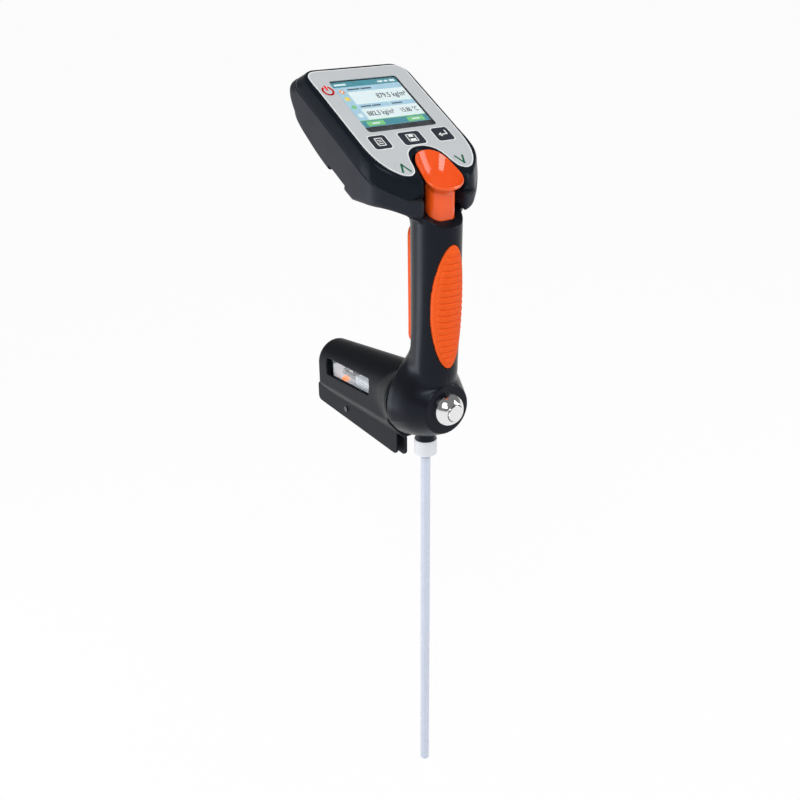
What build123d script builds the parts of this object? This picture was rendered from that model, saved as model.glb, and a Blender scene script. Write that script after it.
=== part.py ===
from build123d import *
from math import atan, cos, radians, sin, sqrt, tan
import os

os.makedirs("parts", exist_ok=True)

# Millimetres. +Z runs up the grip, -Y points to the palm, the origin is the middle of the grip.

# Head
panel_tilt = 29.0
screen_y = 59.3
screen_z = 118.0
head_half_w = 41.5
head_wall = 2.6
head_depth = 38.0
cover_depth = 11.0
gasket_t = 0.8
shelf_z = 62.5
shelf_front = 6.0
panel_top = 38.0
rear_bulge = 53.0
flank_round = 4.0
lobe_y = -10.0
floor_t = 4.2
screw_seat = -22.0
nose_angle = 20.0
nose_w = -7.0
neck_x = 18.5

# Battery well
well_w = 8.0
door_l = 58.0
door_h = 50.0
door_t = 2.4
cell_r = 7.2

# Display and board
module_t = 3.6
board_t = 1.6
switch_h = 1.4

# Slot of the thumb lever
slot_r = 12.6
slot_y = 3.5
slot_rim = 2.2
slot_mouth = 16.4

# Panel, window and keys
overlay_t = 0.8
lens_t = 1.2
lens_w = 53.2
lens_top = 25.2
lens_bottom = -28.8
key_gap = 0.15
key_proud = 0.3
key_travel = 0.5
row_w = -38.8
row_pitch = 24.4
key_size = 12.3
save_w = 16.2
power_u = -31.8
power_w = 16.0
arrow_u = 22.5
arrow_w = -64.5

# Grip
grip_a = 15.5
grip_b = 18.0
# height, half width, half depth and middle of each oval, from the nose to the lower housing
grip_ovals = [
    (shelf_z + 2, grip_a, grip_b, 0.0),
    (43.0, grip_a, grip_b, 0.0),
    (20.0, grip_a, grip_b - 0.2, 0.0),
    (-5.0, grip_a, grip_b - 0.7, 0.2),
    (-25.0, grip_a, grip_b - 1.4, 0.6),
    (-42.0, grip_a + 0.6, grip_b - 1.9, 1.4),
    (-56.0, grip_a + 1.6, grip_b - 2.1, 1.8),
    (-66.0, grip_a + 4.0, grip_b - 2.6, 1.9),
    (-78.0, grip_a + 8.6, grip_b - 3.6, 1.9),
]
grip_wall = 3.0
grip_floor = -50.0
flange_t = 3.0
guide_low = 46.0
flange_w = 46.0
flange_d = 24.0
flange_y = 3.5
screw_head_x = 5.5
screw_spots = [(11.0, 30.0), (10.8, -41.0)]

# Pads of the grip
pad_in = 1.3
palm_out = 1.2
palm_top = 42.0
palm_low = -46.5
palm_half = 12.0
finger_out = 3.0
finger_top = 47.0
finger_low = -35.0
finger_w = 19.0

# Lower housing: a bulb about an axis along Y
bulb_z = -75.0
disc_y = -14.0
disc_r = 17.0
bulb_r = 24.4
ring_y = 15.5
ring_r = 28.8
bulb_wall = 3.2

# Pump
pump_y = -1.5
column_y = -4.0
pump_stroke = 14.0
column_w = 18.5
column_d = 15.0
column_low = 32.0
cap_top = 2.0
piston_r = 6.9
barrel_r = 7.0
barrel_out = 9.0
rod_r = 2.5
piston_top = -13.0
outlet_l = 9.5
cap_low = -2.0
spring_r = 5.2
wire_r = 0.55
spring_turns = 8

# Thumb lever
lever_r = 13.2
lever_heel = 10.2
lever_rear = 14.0
lever_front = -16.6
lever_rear_z = 94.8
lever_front_z = 75.2
lever_low = 71.0
scoop_r = 14.0
scoop_long = 18.2
scoop_lift = 8.5

# Button
button_r = 11.6
button_out = 9.0
cap_r = 5.8
button_travel = 2.0
barrel_hole = 8.1

# Sampling tube
tube_y = 10.0
tube_r = 3.5
tube_bore = 2.5
tube_low = -402.0
tube_neck = 0.1
nut_r = 8.0
nut_top = -106.8
nut_h = 13.2
collar_r = 7.2
stem_r = 4.9
stem_l = 20.0
spigot_r = 5.5

# Cell cover
ring_gap = 2.6
funnel_rear = 47.0
hood_front = 38.0
hood_rear = 131.0
hood_half1 = 18.4
hood_half2 = 15.9
hood_top1 = -56.6
hood_top2 = -68.2
hood_spring1 = -73.8
hood_spring2 = -85.0
hood_side1 = -101.0
hood_side2 = -105.0
hood_low = -113.5
hood_wall = 3.0
funnel_r = 18.0
funnel_mid = 21.2
hood_round = 5.0
keel_t = 1.8
keel_gap = 2.6
keel_front_low = -132.6
keel_rear_low = -127.2
keel_front = 48.0
keel_step = 7.5
keel_rear = 152.0
keel_screw_y = 110.0
keel_screw_z = -121.0
window_y = 85.4
window_z = -80.6
window_l = 62.0
window_h = 14.6
pane_t = 1.5
window_slope = 6.0

# Measuring cell
block_r = 26.2
block_in = 2.8
block_rear = 34.0
boss_low = -90.0
boss_h = 6.0
nipple_r = 1.7
nipple_l = 5.0
hose_bend = 4.0
block_step_r = 19.0
glass_r = 1.8
cell_ports = [(-5.0, -87.0), (5.0, -87.0)]
glass_end = 104.0
tray_z = -95.0
tray_half = 9.0
tray_front = 40.0
tray_rear = 118.0
lamp_x = -3.0
lamp_y = 108.0

# Running fit of parts that slide
fit = 0.1

cover_y = ring_y + ring_gap
block_front = ring_y - block_in
hose_z = grip_floor - outlet_l - hose_bend
tilt = radians(panel_tilt)
panel = Plane(origin=(0, screen_y, screen_z), x_dir=(1, 0, 0), z_dir=(0, -sin(tilt), cos(tilt)))
nose_lean = radians(nose_angle)
nose = Plane(origin=(0, shelf_front, shelf_z), x_dir=(1, 0, 0), z_dir=(0, -sin(nose_lean), cos(nose_lean)))


def side_point(w, n):
    """Point of the side view that lies w up the panel and n out of it."""
    return (screen_y + w * cos(tilt) - n * sin(tilt), screen_z + w * sin(tilt) + n * cos(tilt))


def level_w(z, n):
    """Distance up the panel at which depth n meets the height z."""
    return (z - screen_z - n * cos(tilt)) / sin(tilt)


def nose_height(y):
    """Height of the sloping underside of the nose."""
    return shelf_z + (y - shelf_front) * tan(radians(nose_angle))


def head_form(inset):
    """Block of the head with every wall moved in by the inset."""
    front = lobe_y - 15
    with BuildPart() as form:
        with BuildSketch(Plane.YZ) as profile:
            with BuildLine():
                Polyline(
                    side_point(panel_top, 0),
                    side_point(rear_bulge, -16),
                    side_point(rear_bulge - 11, -head_depth),
                    side_point(level_w(shelf_z, -head_depth), -head_depth),
                    (shelf_front, shelf_z),
                    (front, nose_height(front)),
                    (front, screen_z + (front - screen_y) * tan(tilt)),
                    close=True,
                )
            make_face()
            fillet(profile.vertices().sort_by(Axis.X)[-2:], radius=8)
            if inset:
                offset(amount=-inset, kind=Kind.INTERSECTION, mode=Mode.REPLACE)
        extrude(amount=head_half_w + 5, both=True)
        with BuildSketch(Plane.XY.offset(shelf_z - 40)):
            with BuildLine():
                Polyline((0, lobe_y), (20, lobe_y), (29.5, -3))
                ThreePointArc((29.5, -3), (head_half_w - 3.4, 5.8), (head_half_w, 17))
                Polyline((head_half_w, 17), (head_half_w, 140), (0, 140))
                mirror(about=Plane.YZ)
            make_face()
            with Locations((0, slot_y)):
                Circle(slot_r, mode=Mode.SUBTRACT)
            with BuildLine():
                Polyline(
                    (slot_r, slot_y), (slot_mouth, lobe_y - 1), (-slot_mouth, lobe_y - 1), (-slot_r, slot_y),
                    close=True,
                )
            make_face(mode=Mode.SUBTRACT)
            if inset:
                offset(amount=-inset, kind=Kind.INTERSECTION, mode=Mode.REPLACE)
        extrude(amount=160, mode=Mode.INTERSECT)
    return form.part


def panel_outline():
    """Face of the grey panel on the panel plane."""
    side = head_half_w - 3.3
    with BuildSketch() as face:
        with BuildLine():
            Polyline((0, panel_top - 1.4), (side, panel_top - 1.4), (side, -48))
            ThreePointArc((side, -48), (side - 2.7, -59.5), (28.3, -68.0))
            Polyline((28.3, -68.0), (22.8, -72.6), (0, -72.6))
            mirror(about=Plane.YZ)
        make_face()
        fillet(face.vertices().group_by(Axis.Y)[-1], radius=7)
        slot_w = (slot_y - screen_y) / cos(tilt)
        with Locations((0, slot_w)):
            Ellipse(slot_r + slot_rim, (slot_r + slot_rim) / cos(tilt), mode=Mode.SUBTRACT)
        with BuildLine():
            Polyline(
                (slot_r + slot_rim, slot_w), (slot_mouth + 1.6, -75),
                (-slot_mouth - 1.6, -75), (-slot_r - slot_rim, slot_w),
                close=True,
            )
        make_face(mode=Mode.SUBTRACT)
        fillet(face.vertices().group_by(Axis.Y)[0], radius=1.8)
    return face.sketch


key_spots = {
    "menu_key": (-row_pitch, row_w, key_size, key_size),
    "save_key": (0, row_w, save_w, key_size - 0.3),
    "enter_key": (row_pitch, row_w, key_size, key_size),
    "power_key": (power_u, power_w, 8.4, 8.4),
    "up_key": (-arrow_u, arrow_w, 9.6, 9.6),
    "down_key": (arrow_u, arrow_w, 9.6, 9.6),
}
round_keys = ("power_key", "up_key", "down_key")
post_spots = [(33.0, 28.0), (-33.0, 28.0), (33.2, -49.0), (-33.2, -49.0)]
neck_spots = [(neck_x, 11.5), (-neck_x, 11.5)]
nose_spots = [(neck_x, nose_w), (-neck_x, nose_w)]


def key_face(name, grow):
    """Outline of one key on the panel plane, grown on every side."""
    u, w, width, height = key_spots[name]
    with BuildSketch() as face:
        with Locations((u, w)):
            if name in round_keys:
                Circle(width / 2 + grow)
            else:
                RectangleRounded(width + 2 * grow, height + 2 * grow, 1.8 + grow)
    return face.sketch


# Head body: the whole outer form with its rounded edges, cut later into cover and case
with BuildPart() as body:
    add(head_form(0))
    flank = body.edges().filter_by(lambda e: abs(abs(e.center().X) - head_half_w) < 0.05)
    fillet([e for e in flank if panel.to_local_coords(e.center()).Z < -1 and e.center().Y > 20], radius=flank_round)
outer = body.part
inner = head_form(head_wall)

# Head cover: upper shell of the head, with the openings for window and keys
with BuildPart() as head_cover:
    add(outer)
    split(bisect_by=panel.offset(-cover_depth), keep=Keep.TOP)
    rim = head_cover.faces().sort_by(Axis(panel.origin, panel.z_dir))[-1]
    chamfer(rim.outer_wire().edges(), length=1.0)
    add(inner, mode=Mode.SUBTRACT)
    with BuildSketch(panel.offset(-overlay_t)):
        add(panel_outline())
    extrude(amount=overlay_t + 1, mode=Mode.SUBTRACT)
    with BuildSketch(panel.offset(-lens_t)):
        with Locations((0, (lens_top + lens_bottom) / 2)):
            RectangleRounded(lens_w, lens_top - lens_bottom, 2.5)
    extrude(amount=lens_t + 1, mode=Mode.SUBTRACT)
    with BuildSketch(panel.offset(-head_wall - 1)):
        with Locations((0, 0.4)):
            Rectangle(lens_w - 3, 46.4)
        for name in key_spots:
            add(key_face(name, key_gap))
    extrude(amount=head_wall + 2, mode=Mode.SUBTRACT)
    with BuildSketch(panel.offset(-cover_depth)):
        with Locations(*post_spots):
            Circle(3.2)
            Circle(1.15, mode=Mode.SUBTRACT)
    extrude(amount=cover_depth - head_wall)
head_cover.part.label = "head_cover"
export_step(head_cover.part, "parts/head_cover.step")

# Head case: lower shell with the battery well, screw posts and the nose over the grip
case_top = -cover_depth - gasket_t
floor_n = -head_depth + floor_t
floor_top = panel_top - 2
floor_low = level_w(shelf_z, -head_depth + head_wall) + 0.5
with BuildPart() as head_case:
    add(outer)
    split(bisect_by=panel.offset(case_top), keep=Keep.BOTTOM)
    add(inner, mode=Mode.SUBTRACT)
    with BuildSketch(panel.offset(-head_depth + head_wall)):
        with Locations((0, (floor_top + floor_low) / 2)):
            Rectangle(2 * (head_half_w - 2), floor_top - floor_low)
    extrude(amount=floor_t - head_wall)
    with BuildSketch(panel.offset(floor_n)):
        with Locations((0, well_w)):
            Rectangle(door_l - 1, door_h - 1)
            Rectangle(door_l - 4, door_h - 4, mode=Mode.SUBTRACT)
    extrude(amount=11)
    with BuildSketch(panel.offset(-head_depth)):
        with Locations(*post_spots):
            Circle(3.8)
    extrude(amount=head_depth + case_top)
    with BuildSketch(Plane.XY.offset(shelf_z)):
        with Locations(*neck_spots):
            Circle(3.2)
    extrude(amount=8)
    with BuildSketch(nose):
        with Locations(*nose_spots):
            Circle(3.2)
    extrude(amount=8)
    with BuildSketch(panel.offset(-head_depth - 1)):
        with Locations(*post_spots):
            Circle(1.4)
    extrude(amount=head_depth, mode=Mode.SUBTRACT)
    with BuildSketch(panel.offset(-head_depth - 1)):
        with Locations(*post_spots):
            Circle(2.6)
    extrude(amount=head_depth + 1 + screw_seat, mode=Mode.SUBTRACT)
    with BuildSketch(Plane.XY.offset(shelf_z - 1)):
        with Locations(*neck_spots):
            Circle(1.3)
    extrude(amount=8, mode=Mode.SUBTRACT)
    with BuildSketch(nose.offset(-1)):
        with Locations(*nose_spots):
            Circle(1.3)
    extrude(amount=8, mode=Mode.SUBTRACT)
    with BuildSketch(panel.offset(-head_depth - 1)):
        with Locations((0, well_w)):
            Rectangle(door_l - 4, door_h - 4)
    extrude(amount=20, mode=Mode.SUBTRACT)
    with BuildSketch(panel.offset(-head_depth - 1)):
        with Locations((0, well_w)):
            RectangleRounded(door_l, door_h, 3)
        with Locations((head_half_w - 4.5, -26.5), (4.5 - head_half_w, -26.5)):
            Rectangle(10, 20)
    extrude(amount=1 + door_t, mode=Mode.SUBTRACT)
head_case.part.label = "head_case"
export_step(head_case.part, "parts/head_case.step")

# Case gasket: thin ring between the two shells
with BuildPart() as case_gasket:
    add(head_form(0.6))
    split(bisect_by=panel.offset(-cover_depth), keep=Keep.BOTTOM)
    split(bisect_by=panel.offset(case_top), keep=Keep.TOP)
    add(head_form(head_wall - 0.3), mode=Mode.SUBTRACT)
    with BuildSketch(panel.offset(case_top)):
        Rectangle(200, 300)
    extrude(amount=gasket_t, mode=Mode.INTERSECT)
case_gasket.part.label = "case_gasket"
export_step(case_gasket.part, "parts/case_gasket.step")

# Case screws: four screws that pull the shells together
with BuildPart() as case_screws:
    with BuildSketch(panel.offset(screw_seat - 2)):
        with Locations(*post_spots):
            Circle(2.4)
    extrude(amount=2)
    with BuildSketch(panel.offset(screw_seat)):
        with Locations(*post_spots):
            Circle(1.1)
    extrude(amount=-screw_seat - 5)
    with BuildSketch(panel.offset(screw_seat - 2)):
        with Locations(*post_spots):
            Rectangle(0.7, 3.2)
            Rectangle(3.2, 0.7)
    extrude(amount=1, mode=Mode.SUBTRACT)
case_screws.part.label = "case_screws"
export_step(case_screws.part, "parts/case_screws.step")

# Panel overlay: grey plate that carries the key legends
with BuildPart() as panel_overlay:
    with BuildSketch(panel.offset(-overlay_t)):
        add(panel_outline())
        with Locations((0, (lens_top + lens_bottom) / 2)):
            RectangleRounded(lens_w, lens_top - lens_bottom, 2.5, mode=Mode.SUBTRACT)
        for name in key_spots:
            add(key_face(name, key_gap), mode=Mode.SUBTRACT)
    extrude(amount=overlay_t)
panel_overlay.part.label = "panel_overlay"
export_step(panel_overlay.part, "parts/panel_overlay.step")

# Display lens: clear window over the display
with BuildPart() as display_lens:
    with BuildSketch(panel.offset(-lens_t)):
        with Locations((0, (lens_top + lens_bottom) / 2)):
            RectangleRounded(lens_w - 0.1, lens_top - lens_bottom - 0.1, 2.5)
    extrude(amount=lens_t)
display_lens.part.label = "display_lens"
export_step(display_lens.part, "parts/display_lens.step")

# Display module: the screen itself, against the inside of the cover
with BuildPart() as display_module:
    with BuildSketch(panel.offset(-head_wall - module_t)):
        with Locations((0, -1)):
            RectangleRounded(lens_w, 53, 1)
    extrude(amount=module_t)
display_module.part.label = "display_module"
export_step(display_module.part, "parts/display_module.step")

# Main board: carries the display and the six switches, with an arm on each side of the slot
board_top = -head_wall - module_t
with BuildPart() as main_board:
    with BuildSketch(panel.offset(board_top - board_t)):
        with Locations((0, -4)):
            Rectangle(55, 74)
        with Locations((-31, power_w)):
            Rectangle(10, 10)
        with Locations((0, -36)):
            Rectangle(62, 12)
        with Locations((24.5, -54), (-24.5, -54)):
            Rectangle(10, 28)
    extrude(amount=board_t)
main_board.part.label = "main_board"
export_step(main_board.part, "parts/main_board.step")

# Key switches: one under every key
with BuildPart() as key_switches:
    with BuildSketch(panel.offset(board_top)):
        for name in key_spots:
            with Locations(key_spots[name][:2]):
                Circle(2.5)
    extrude(amount=switch_h)
key_switches.part.label = "key_switches"
export_step(key_switches.part, "parts/key_switches.step")

# Keys: each a cap in its opening, a flange under the cover and a stem over its switch
for name in key_spots:
    top = 0 if name in round_keys else key_proud
    with BuildPart() as key:
        with BuildSketch(panel.offset(-head_wall)):
            add(key_face(name, 0))
        extrude(amount=head_wall + top)
        with BuildSketch(panel.offset(-head_wall - 0.8)):
            add(key_face(name, 0.6 if name in round_keys else 1))
            with Locations((0, -50)):
                Rectangle(30, 2 * (50 + row_w - 5.6), mode=Mode.SUBTRACT)
        extrude(amount=0.8)
        with BuildSketch(panel.offset(board_top + switch_h + key_travel + 0.1)):
            with Locations(key_spots[name][:2]):
                Circle(1.5)
        extrude(until=Until.NEXT)
    key.part.label = name
    export_step(key.part, "parts/" + name + ".step")

# Battery cells: three round cells that lie across the head
with BuildPart() as battery_cells:
    for step in (-1, 0, 1):
        seat = Plane(panel.from_local_coords((0, well_w + step * 14.8, door_t - head_depth + cell_r)),
                     x_dir=panel.z_dir, z_dir=(1, 0, 0))
        with BuildSketch(seat):
            Circle(cell_r)
        extrude(amount=24.5, both=True)
        with BuildSketch(seat.offset(24.5)):
            Circle(2.6)
        extrude(amount=0.8)
battery_cells.part.label = "battery_cells"
export_step(battery_cells.part, "parts/battery_cells.step")

# Battery door: closes the well from below
with BuildPart() as battery_door:
    with BuildSketch(panel.offset(-head_depth)):
        with Locations((0, well_w)):
            RectangleRounded(door_l - 0.3, door_h - 0.3, 2.9)
    extrude(amount=door_t)
    with BuildSketch(panel.offset(-head_depth)):
        with Locations((0, well_w - door_h / 2 + 7)):
            SlotOverall(18, 5)
    extrude(amount=0.9, mode=Mode.SUBTRACT)
battery_door.part.label = "battery_door"
export_step(battery_door.part, "parts/battery_door.step")


def grip_form(grow, low):
    """Oval of the grip, grown on every side, from the nose down to the given height."""
    with BuildPart() as form:
        for z, a, b, y in grip_ovals:
            with BuildSketch(Plane.XY.offset(z)):
                with Locations((0, y)):
                    Ellipse(a + grow, b + grow)
        loft()
        split(bisect_by=Plane.XY.offset(low), keep=Keep.TOP)
    return form.part


def bulb_form(inset):
    """Lower housing turned about its axis, with the wall moved in by the inset."""
    with BuildPart() as form:
        with BuildSketch(Plane.YZ):
            with BuildLine():
                Polyline((ring_y, bulb_z), (disc_y + inset, bulb_z), (disc_y + inset, bulb_z + disc_r - inset))
                ThreePointArc(
                    (disc_y + inset, bulb_z + disc_r - inset),
                    (0, bulb_z + bulb_r - inset),
                    (ring_y, bulb_z + ring_r - inset),
                )
                Line((ring_y, bulb_z + ring_r - inset), (ring_y, bulb_z))
            make_face()
        revolve(axis=Axis((0, 0, bulb_z), (0, 1, 0)))
    return form.part


def round_about(y, z, direction):
    """Plane with its normal along the given direction at a point of the middle plane."""
    return Plane(origin=(0, y, z), x_dir=(1, 0, 0), z_dir=direction)


# Palm pad: long oval let into the front of the grip
with BuildPart() as palm_pad:
    add(grip_form(palm_out, -75.5))
    add(grip_form(-pad_in, -75.5), mode=Mode.SUBTRACT)
    with BuildSketch(Plane.XZ):
        with Locations((0, (palm_top + palm_low) / 2)):
            Ellipse(palm_half, (palm_top - palm_low) / 2)
    extrude(amount=40, mode=Mode.INTERSECT)
palm_pad.part.label = "palm_pad"

# Finger pad: rounded strip let into the rear of the grip
with BuildPart() as finger_pad:
    add(grip_form(finger_out, -75.5))
    add(grip_form(-pad_in, -75.5), mode=Mode.SUBTRACT)
    with BuildSketch(Plane.XZ):
        with Locations((0, (finger_top + finger_low) / 2)):
            SlotOverall(finger_top - finger_low, finger_w, rotation=90)
    extrude(amount=-40, mode=Mode.INTERSECT)
finger_pad.part.label = "finger_pad"

# Handle: grip, flange under the head and lower housing, made whole and then cut in two halves
column_spot = (0, column_y)
pump_spot = (0, pump_y)
with BuildPart() as handle:
    with BuildSketch(Plane.YZ):
        with Locations((flange_y, shelf_z - 5)):
            Rectangle(flange_d, 40)
    extrude(amount=flange_w / 2, both=True)
    fillet(handle.edges().filter_by(Axis.Z), radius=9)
    with BuildSketch(Plane.YZ):
        with BuildLine():
            Polyline(
                (-40, nose_height(-40) - flange_t), (shelf_front, shelf_z - flange_t), (60, shelf_z - flange_t),
                (60, shelf_z + 20), (-40, shelf_z + 20),
                close=True,
            )
        make_face()
    extrude(amount=60, both=True, mode=Mode.INTERSECT)
    add(grip_form(0, -75.5))
    with BuildSketch(Plane.YZ):
        with BuildLine():
            Polyline(
                (-40, nose_height(-40)), (shelf_front, shelf_z), (60, shelf_z), (60, shelf_z + 40), (-40, shelf_z + 40),
                close=True,
            )
        make_face()
    extrude(amount=60, both=True, mode=Mode.SUBTRACT)
    add(bulb_form(0))
    with BuildSketch(round_about(ring_y, bulb_z, (0, 1, 0))):
        Circle(ring_r + 0.3)
    extrude(amount=20, mode=Mode.SUBTRACT)
    add(bulb_form(bulb_wall), mode=Mode.SUBTRACT)
    with BuildPart(mode=Mode.PRIVATE) as hollow:
        add(grip_form(-grip_wall, grip_floor))
        split(bisect_by=Plane.XY.offset(guide_low), keep=Keep.BOTTOM)
    add(hollow.part, mode=Mode.SUBTRACT)
    for spot in screw_spots:
        with BuildSketch(Plane.YZ):
            with Locations(spot):
                Circle(3.2)
        extrude(amount=10, both=True)
    with BuildSketch(Plane.XY.offset(column_low - pump_stroke - 1)):
        with Locations(column_spot):
            RectangleRounded(column_w + 2 * fit, column_d + 2 * fit, 4)
    extrude(amount=60, mode=Mode.SUBTRACT)
    with BuildSketch(Plane.XY.offset(grip_floor - 30)):
        with Locations(pump_spot):
            Circle(nipple_r + 1.3)
    extrude(amount=31, mode=Mode.SUBTRACT)
    with BuildSketch(Plane.XY.offset(shelf_z - flange_t - 1)):
        with Locations(*neck_spots):
            Circle(1.6)
    extrude(amount=flange_t + 2, mode=Mode.SUBTRACT)
    with BuildSketch(Plane.XY.offset(shelf_z - flange_t - 1)):
        with Locations(*neck_spots):
            Circle(2.9)
    extrude(amount=1 + 1.4, mode=Mode.SUBTRACT)
    with BuildSketch(nose.offset(-flange_t - 1)):
        with Locations(*nose_spots):
            Circle(1.6)
    extrude(amount=flange_t + 2, mode=Mode.SUBTRACT)
    with BuildSketch(nose.offset(-flange_t - 1)):
        with Locations(*nose_spots):
            Circle(2.9)
    extrude(amount=1 + 1.4, mode=Mode.SUBTRACT)
    with BuildSketch(round_about(disc_y, bulb_z, (0, 1, 0))):
        Circle(barrel_hole)
    extrude(amount=bulb_wall + 1, mode=Mode.SUBTRACT)
    with BuildSketch(Plane.XY.offset(nut_top)):
        with Locations((0, tube_y)):
            Circle(stem_r + 0.1)
    extrude(amount=25, mode=Mode.SUBTRACT)
    for spot in screw_spots:
        with BuildSketch(Plane.YZ.offset(-9)):
            with Locations(spot):
                Circle(1.25)
        extrude(amount=30, mode=Mode.SUBTRACT)
        with BuildSketch(Plane.YZ.offset(screw_head_x)):
            with Locations(spot):
                Circle(2.6)
        extrude(amount=20, mode=Mode.SUBTRACT)
    add(palm_pad.part, mode=Mode.SUBTRACT)
    add(finger_pad.part, mode=Mode.SUBTRACT)

with BuildPart() as handle_left:
    add(handle.part)
    split(bisect_by=Plane.YZ, keep=Keep.BOTTOM)
handle_left.part.label = "handle_left"
export_step(handle_left.part, "parts/handle_left.step")

with BuildPart() as handle_right:
    add(handle.part)
    split(bisect_by=Plane.YZ, keep=Keep.TOP)
handle_right.part.label = "handle_right"
export_step(handle_right.part, "parts/handle_right.step")
export_step(palm_pad.part, "parts/palm_pad.step")
export_step(finger_pad.part, "parts/finger_pad.step")

# Handle screws: put in from the right, they hold the two halves together
with BuildPart() as handle_screws:
    for spot in screw_spots:
        with BuildSketch(Plane.YZ.offset(-8)):
            with Locations(spot):
                Circle(1.2)
        extrude(amount=8 + screw_head_x)
        with BuildSketch(Plane.YZ.offset(screw_head_x)):
            with Locations(spot):
                Circle(2.4)
        extrude(amount=1.8)
        with BuildSketch(Plane.YZ.offset(screw_head_x + 0.8)):
            with Locations(spot):
                Rectangle(0.7, 3.2)
                Rectangle(3.2, 0.7)
        extrude(amount=2, mode=Mode.SUBTRACT)
handle_screws.part.label = "handle_screws"
export_step(handle_screws.part, "parts/handle_screws.step")

# Neck screws: hold the flange of the handle under the nose of the head
with BuildPart() as neck_screws:
    for seat, spots in (
        (Plane.XY.offset(shelf_z - flange_t), neck_spots),
        (nose.offset(-flange_t), nose_spots),
    ):
        with BuildSketch(seat):
            with Locations(*spots):
                Circle(2.6)
        extrude(amount=1.4)
        with BuildSketch(seat):
            with Locations(*spots):
                Circle(1.25)
        extrude(amount=flange_t + 6)
        with BuildSketch(seat):
            with Locations(*spots):
                Rectangle(0.7, 3.4)
                Rectangle(3.4, 0.7)
        extrude(amount=0.8, mode=Mode.SUBTRACT)
neck_screws.part.label = "neck_screws"
export_step(neck_screws.part, "parts/neck_screws.step")

# Pump lever: thumb scoop on a column that slides down into the grip
scoop_tilt = atan((lever_rear_z - lever_front_z) / (lever_rear - lever_front))
scoop_mid = ((lever_rear + lever_front) / 2, (lever_rear_z + lever_front_z) / 2)
scoop_top = Plane(
    origin=(0, scoop_mid[0], scoop_mid[1]),
    x_dir=(1, 0, 0),
    z_dir=(0, -sin(scoop_tilt), cos(scoop_tilt)),
)
with BuildPart() as pump_column:
    with BuildSketch(Plane.XY.offset(column_low)):
        with Locations(column_spot):
            RectangleRounded(column_w, column_d, 4)
    extrude(amount=lever_rear_z - column_low)
    split(bisect_by=scoop_top.offset(-2), keep=Keep.BOTTOM)

with BuildPart() as pump_lever:
    with BuildSketch(Plane.XY.offset(lever_low)):
        with Locations((0, lever_rear - lever_heel)):
            Circle(lever_heel)
        with Locations((0, lever_front + lever_r)):
            Circle(lever_r)
        make_hull()
    extrude(amount=60)
    with BuildSketch(Plane.YZ):
        with BuildLine():
            Polyline(
                (lever_rear + 5, lever_rear_z + 5 * tan(scoop_tilt)),
                (lever_rear + 5, lever_low + 13),
                (lever_rear - 6, lever_low + 11),
                (column_y - column_d / 2 - 1, lever_low),
                (lever_front - 5, lever_low),
                (lever_front - 5, lever_front_z - 5 * tan(scoop_tilt)),
                close=True,
            )
        make_face()
    extrude(amount=40, both=True, mode=Mode.INTERSECT)
    lever_rim = [e for e in pump_lever.edges() if abs(scoop_top.to_local_coords(e.center()).Z) < 0.5]
    fillet(lever_rim, radius=0.5)
    add(pump_column.part)
    with BuildSketch(Plane(scoop_top.offset(scoop_lift).origin, x_dir=scoop_top.y_dir, z_dir=(1, 0, 0))):
        with BuildLine():
            EllipticalCenterArc((0, 0), scoop_long, scoop_r, start_angle=0, arc_size=180)
            Line((scoop_long, 0), (-scoop_long, 0))
        make_face()
    revolve(axis=Axis(scoop_top.offset(scoop_lift).origin, scoop_top.y_dir), mode=Mode.SUBTRACT)
    with BuildSketch(Plane.XY.offset(column_low)):
        with Locations(pump_spot):
            Circle(rod_r + 0.05)
    extrude(amount=8, mode=Mode.SUBTRACT)
pump_lever.part.label = "pump_lever"
export_step(pump_lever.part, "parts/pump_lever.step")

# Pump rod: joins the lever to the piston
with BuildPart() as pump_rod:
    with BuildSketch(Plane.XY.offset(piston_top - 3)):
        with Locations(pump_spot):
            Circle(rod_r)
    extrude(amount=column_low + 8 - piston_top + 3)
pump_rod.part.label = "pump_rod"
export_step(pump_rod.part, "parts/pump_rod.step")

# Pump piston with a groove for its seal
with BuildPart() as pump_piston:
    with BuildSketch(Plane.XY.offset(piston_top - 7)):
        with Locations(pump_spot):
            Circle(piston_r)
    extrude(amount=7)
    with BuildSketch(Plane.XY.offset(piston_top - 6)):
        with Locations(pump_spot):
            Circle(piston_r + 1)
            Circle(5.4, mode=Mode.SUBTRACT)
    extrude(amount=2.4, mode=Mode.SUBTRACT)
    with BuildSketch(Plane.XY.offset(piston_top - 3)):
        with Locations(pump_spot):
            Circle(rod_r + 0.05)
    extrude(amount=4, mode=Mode.SUBTRACT)
pump_piston.part.label = "pump_piston"
export_step(pump_piston.part, "parts/pump_piston.step")

# Piston seal: ring in the groove that slides on the barrel wall
with BuildPart() as piston_seal:
    with BuildSketch(Plane.XY.offset(piston_top - 5.9)):
        with Locations(pump_spot):
            Circle(barrel_r - 0.03)
            Circle(5.45, mode=Mode.SUBTRACT)
    extrude(amount=2.2)
    fillet(piston_seal.edges().group_by(SortBy.LENGTH)[-1], radius=0.5)
piston_seal.part.label = "piston_seal"
export_step(piston_seal.part, "parts/piston_seal.step")

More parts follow.
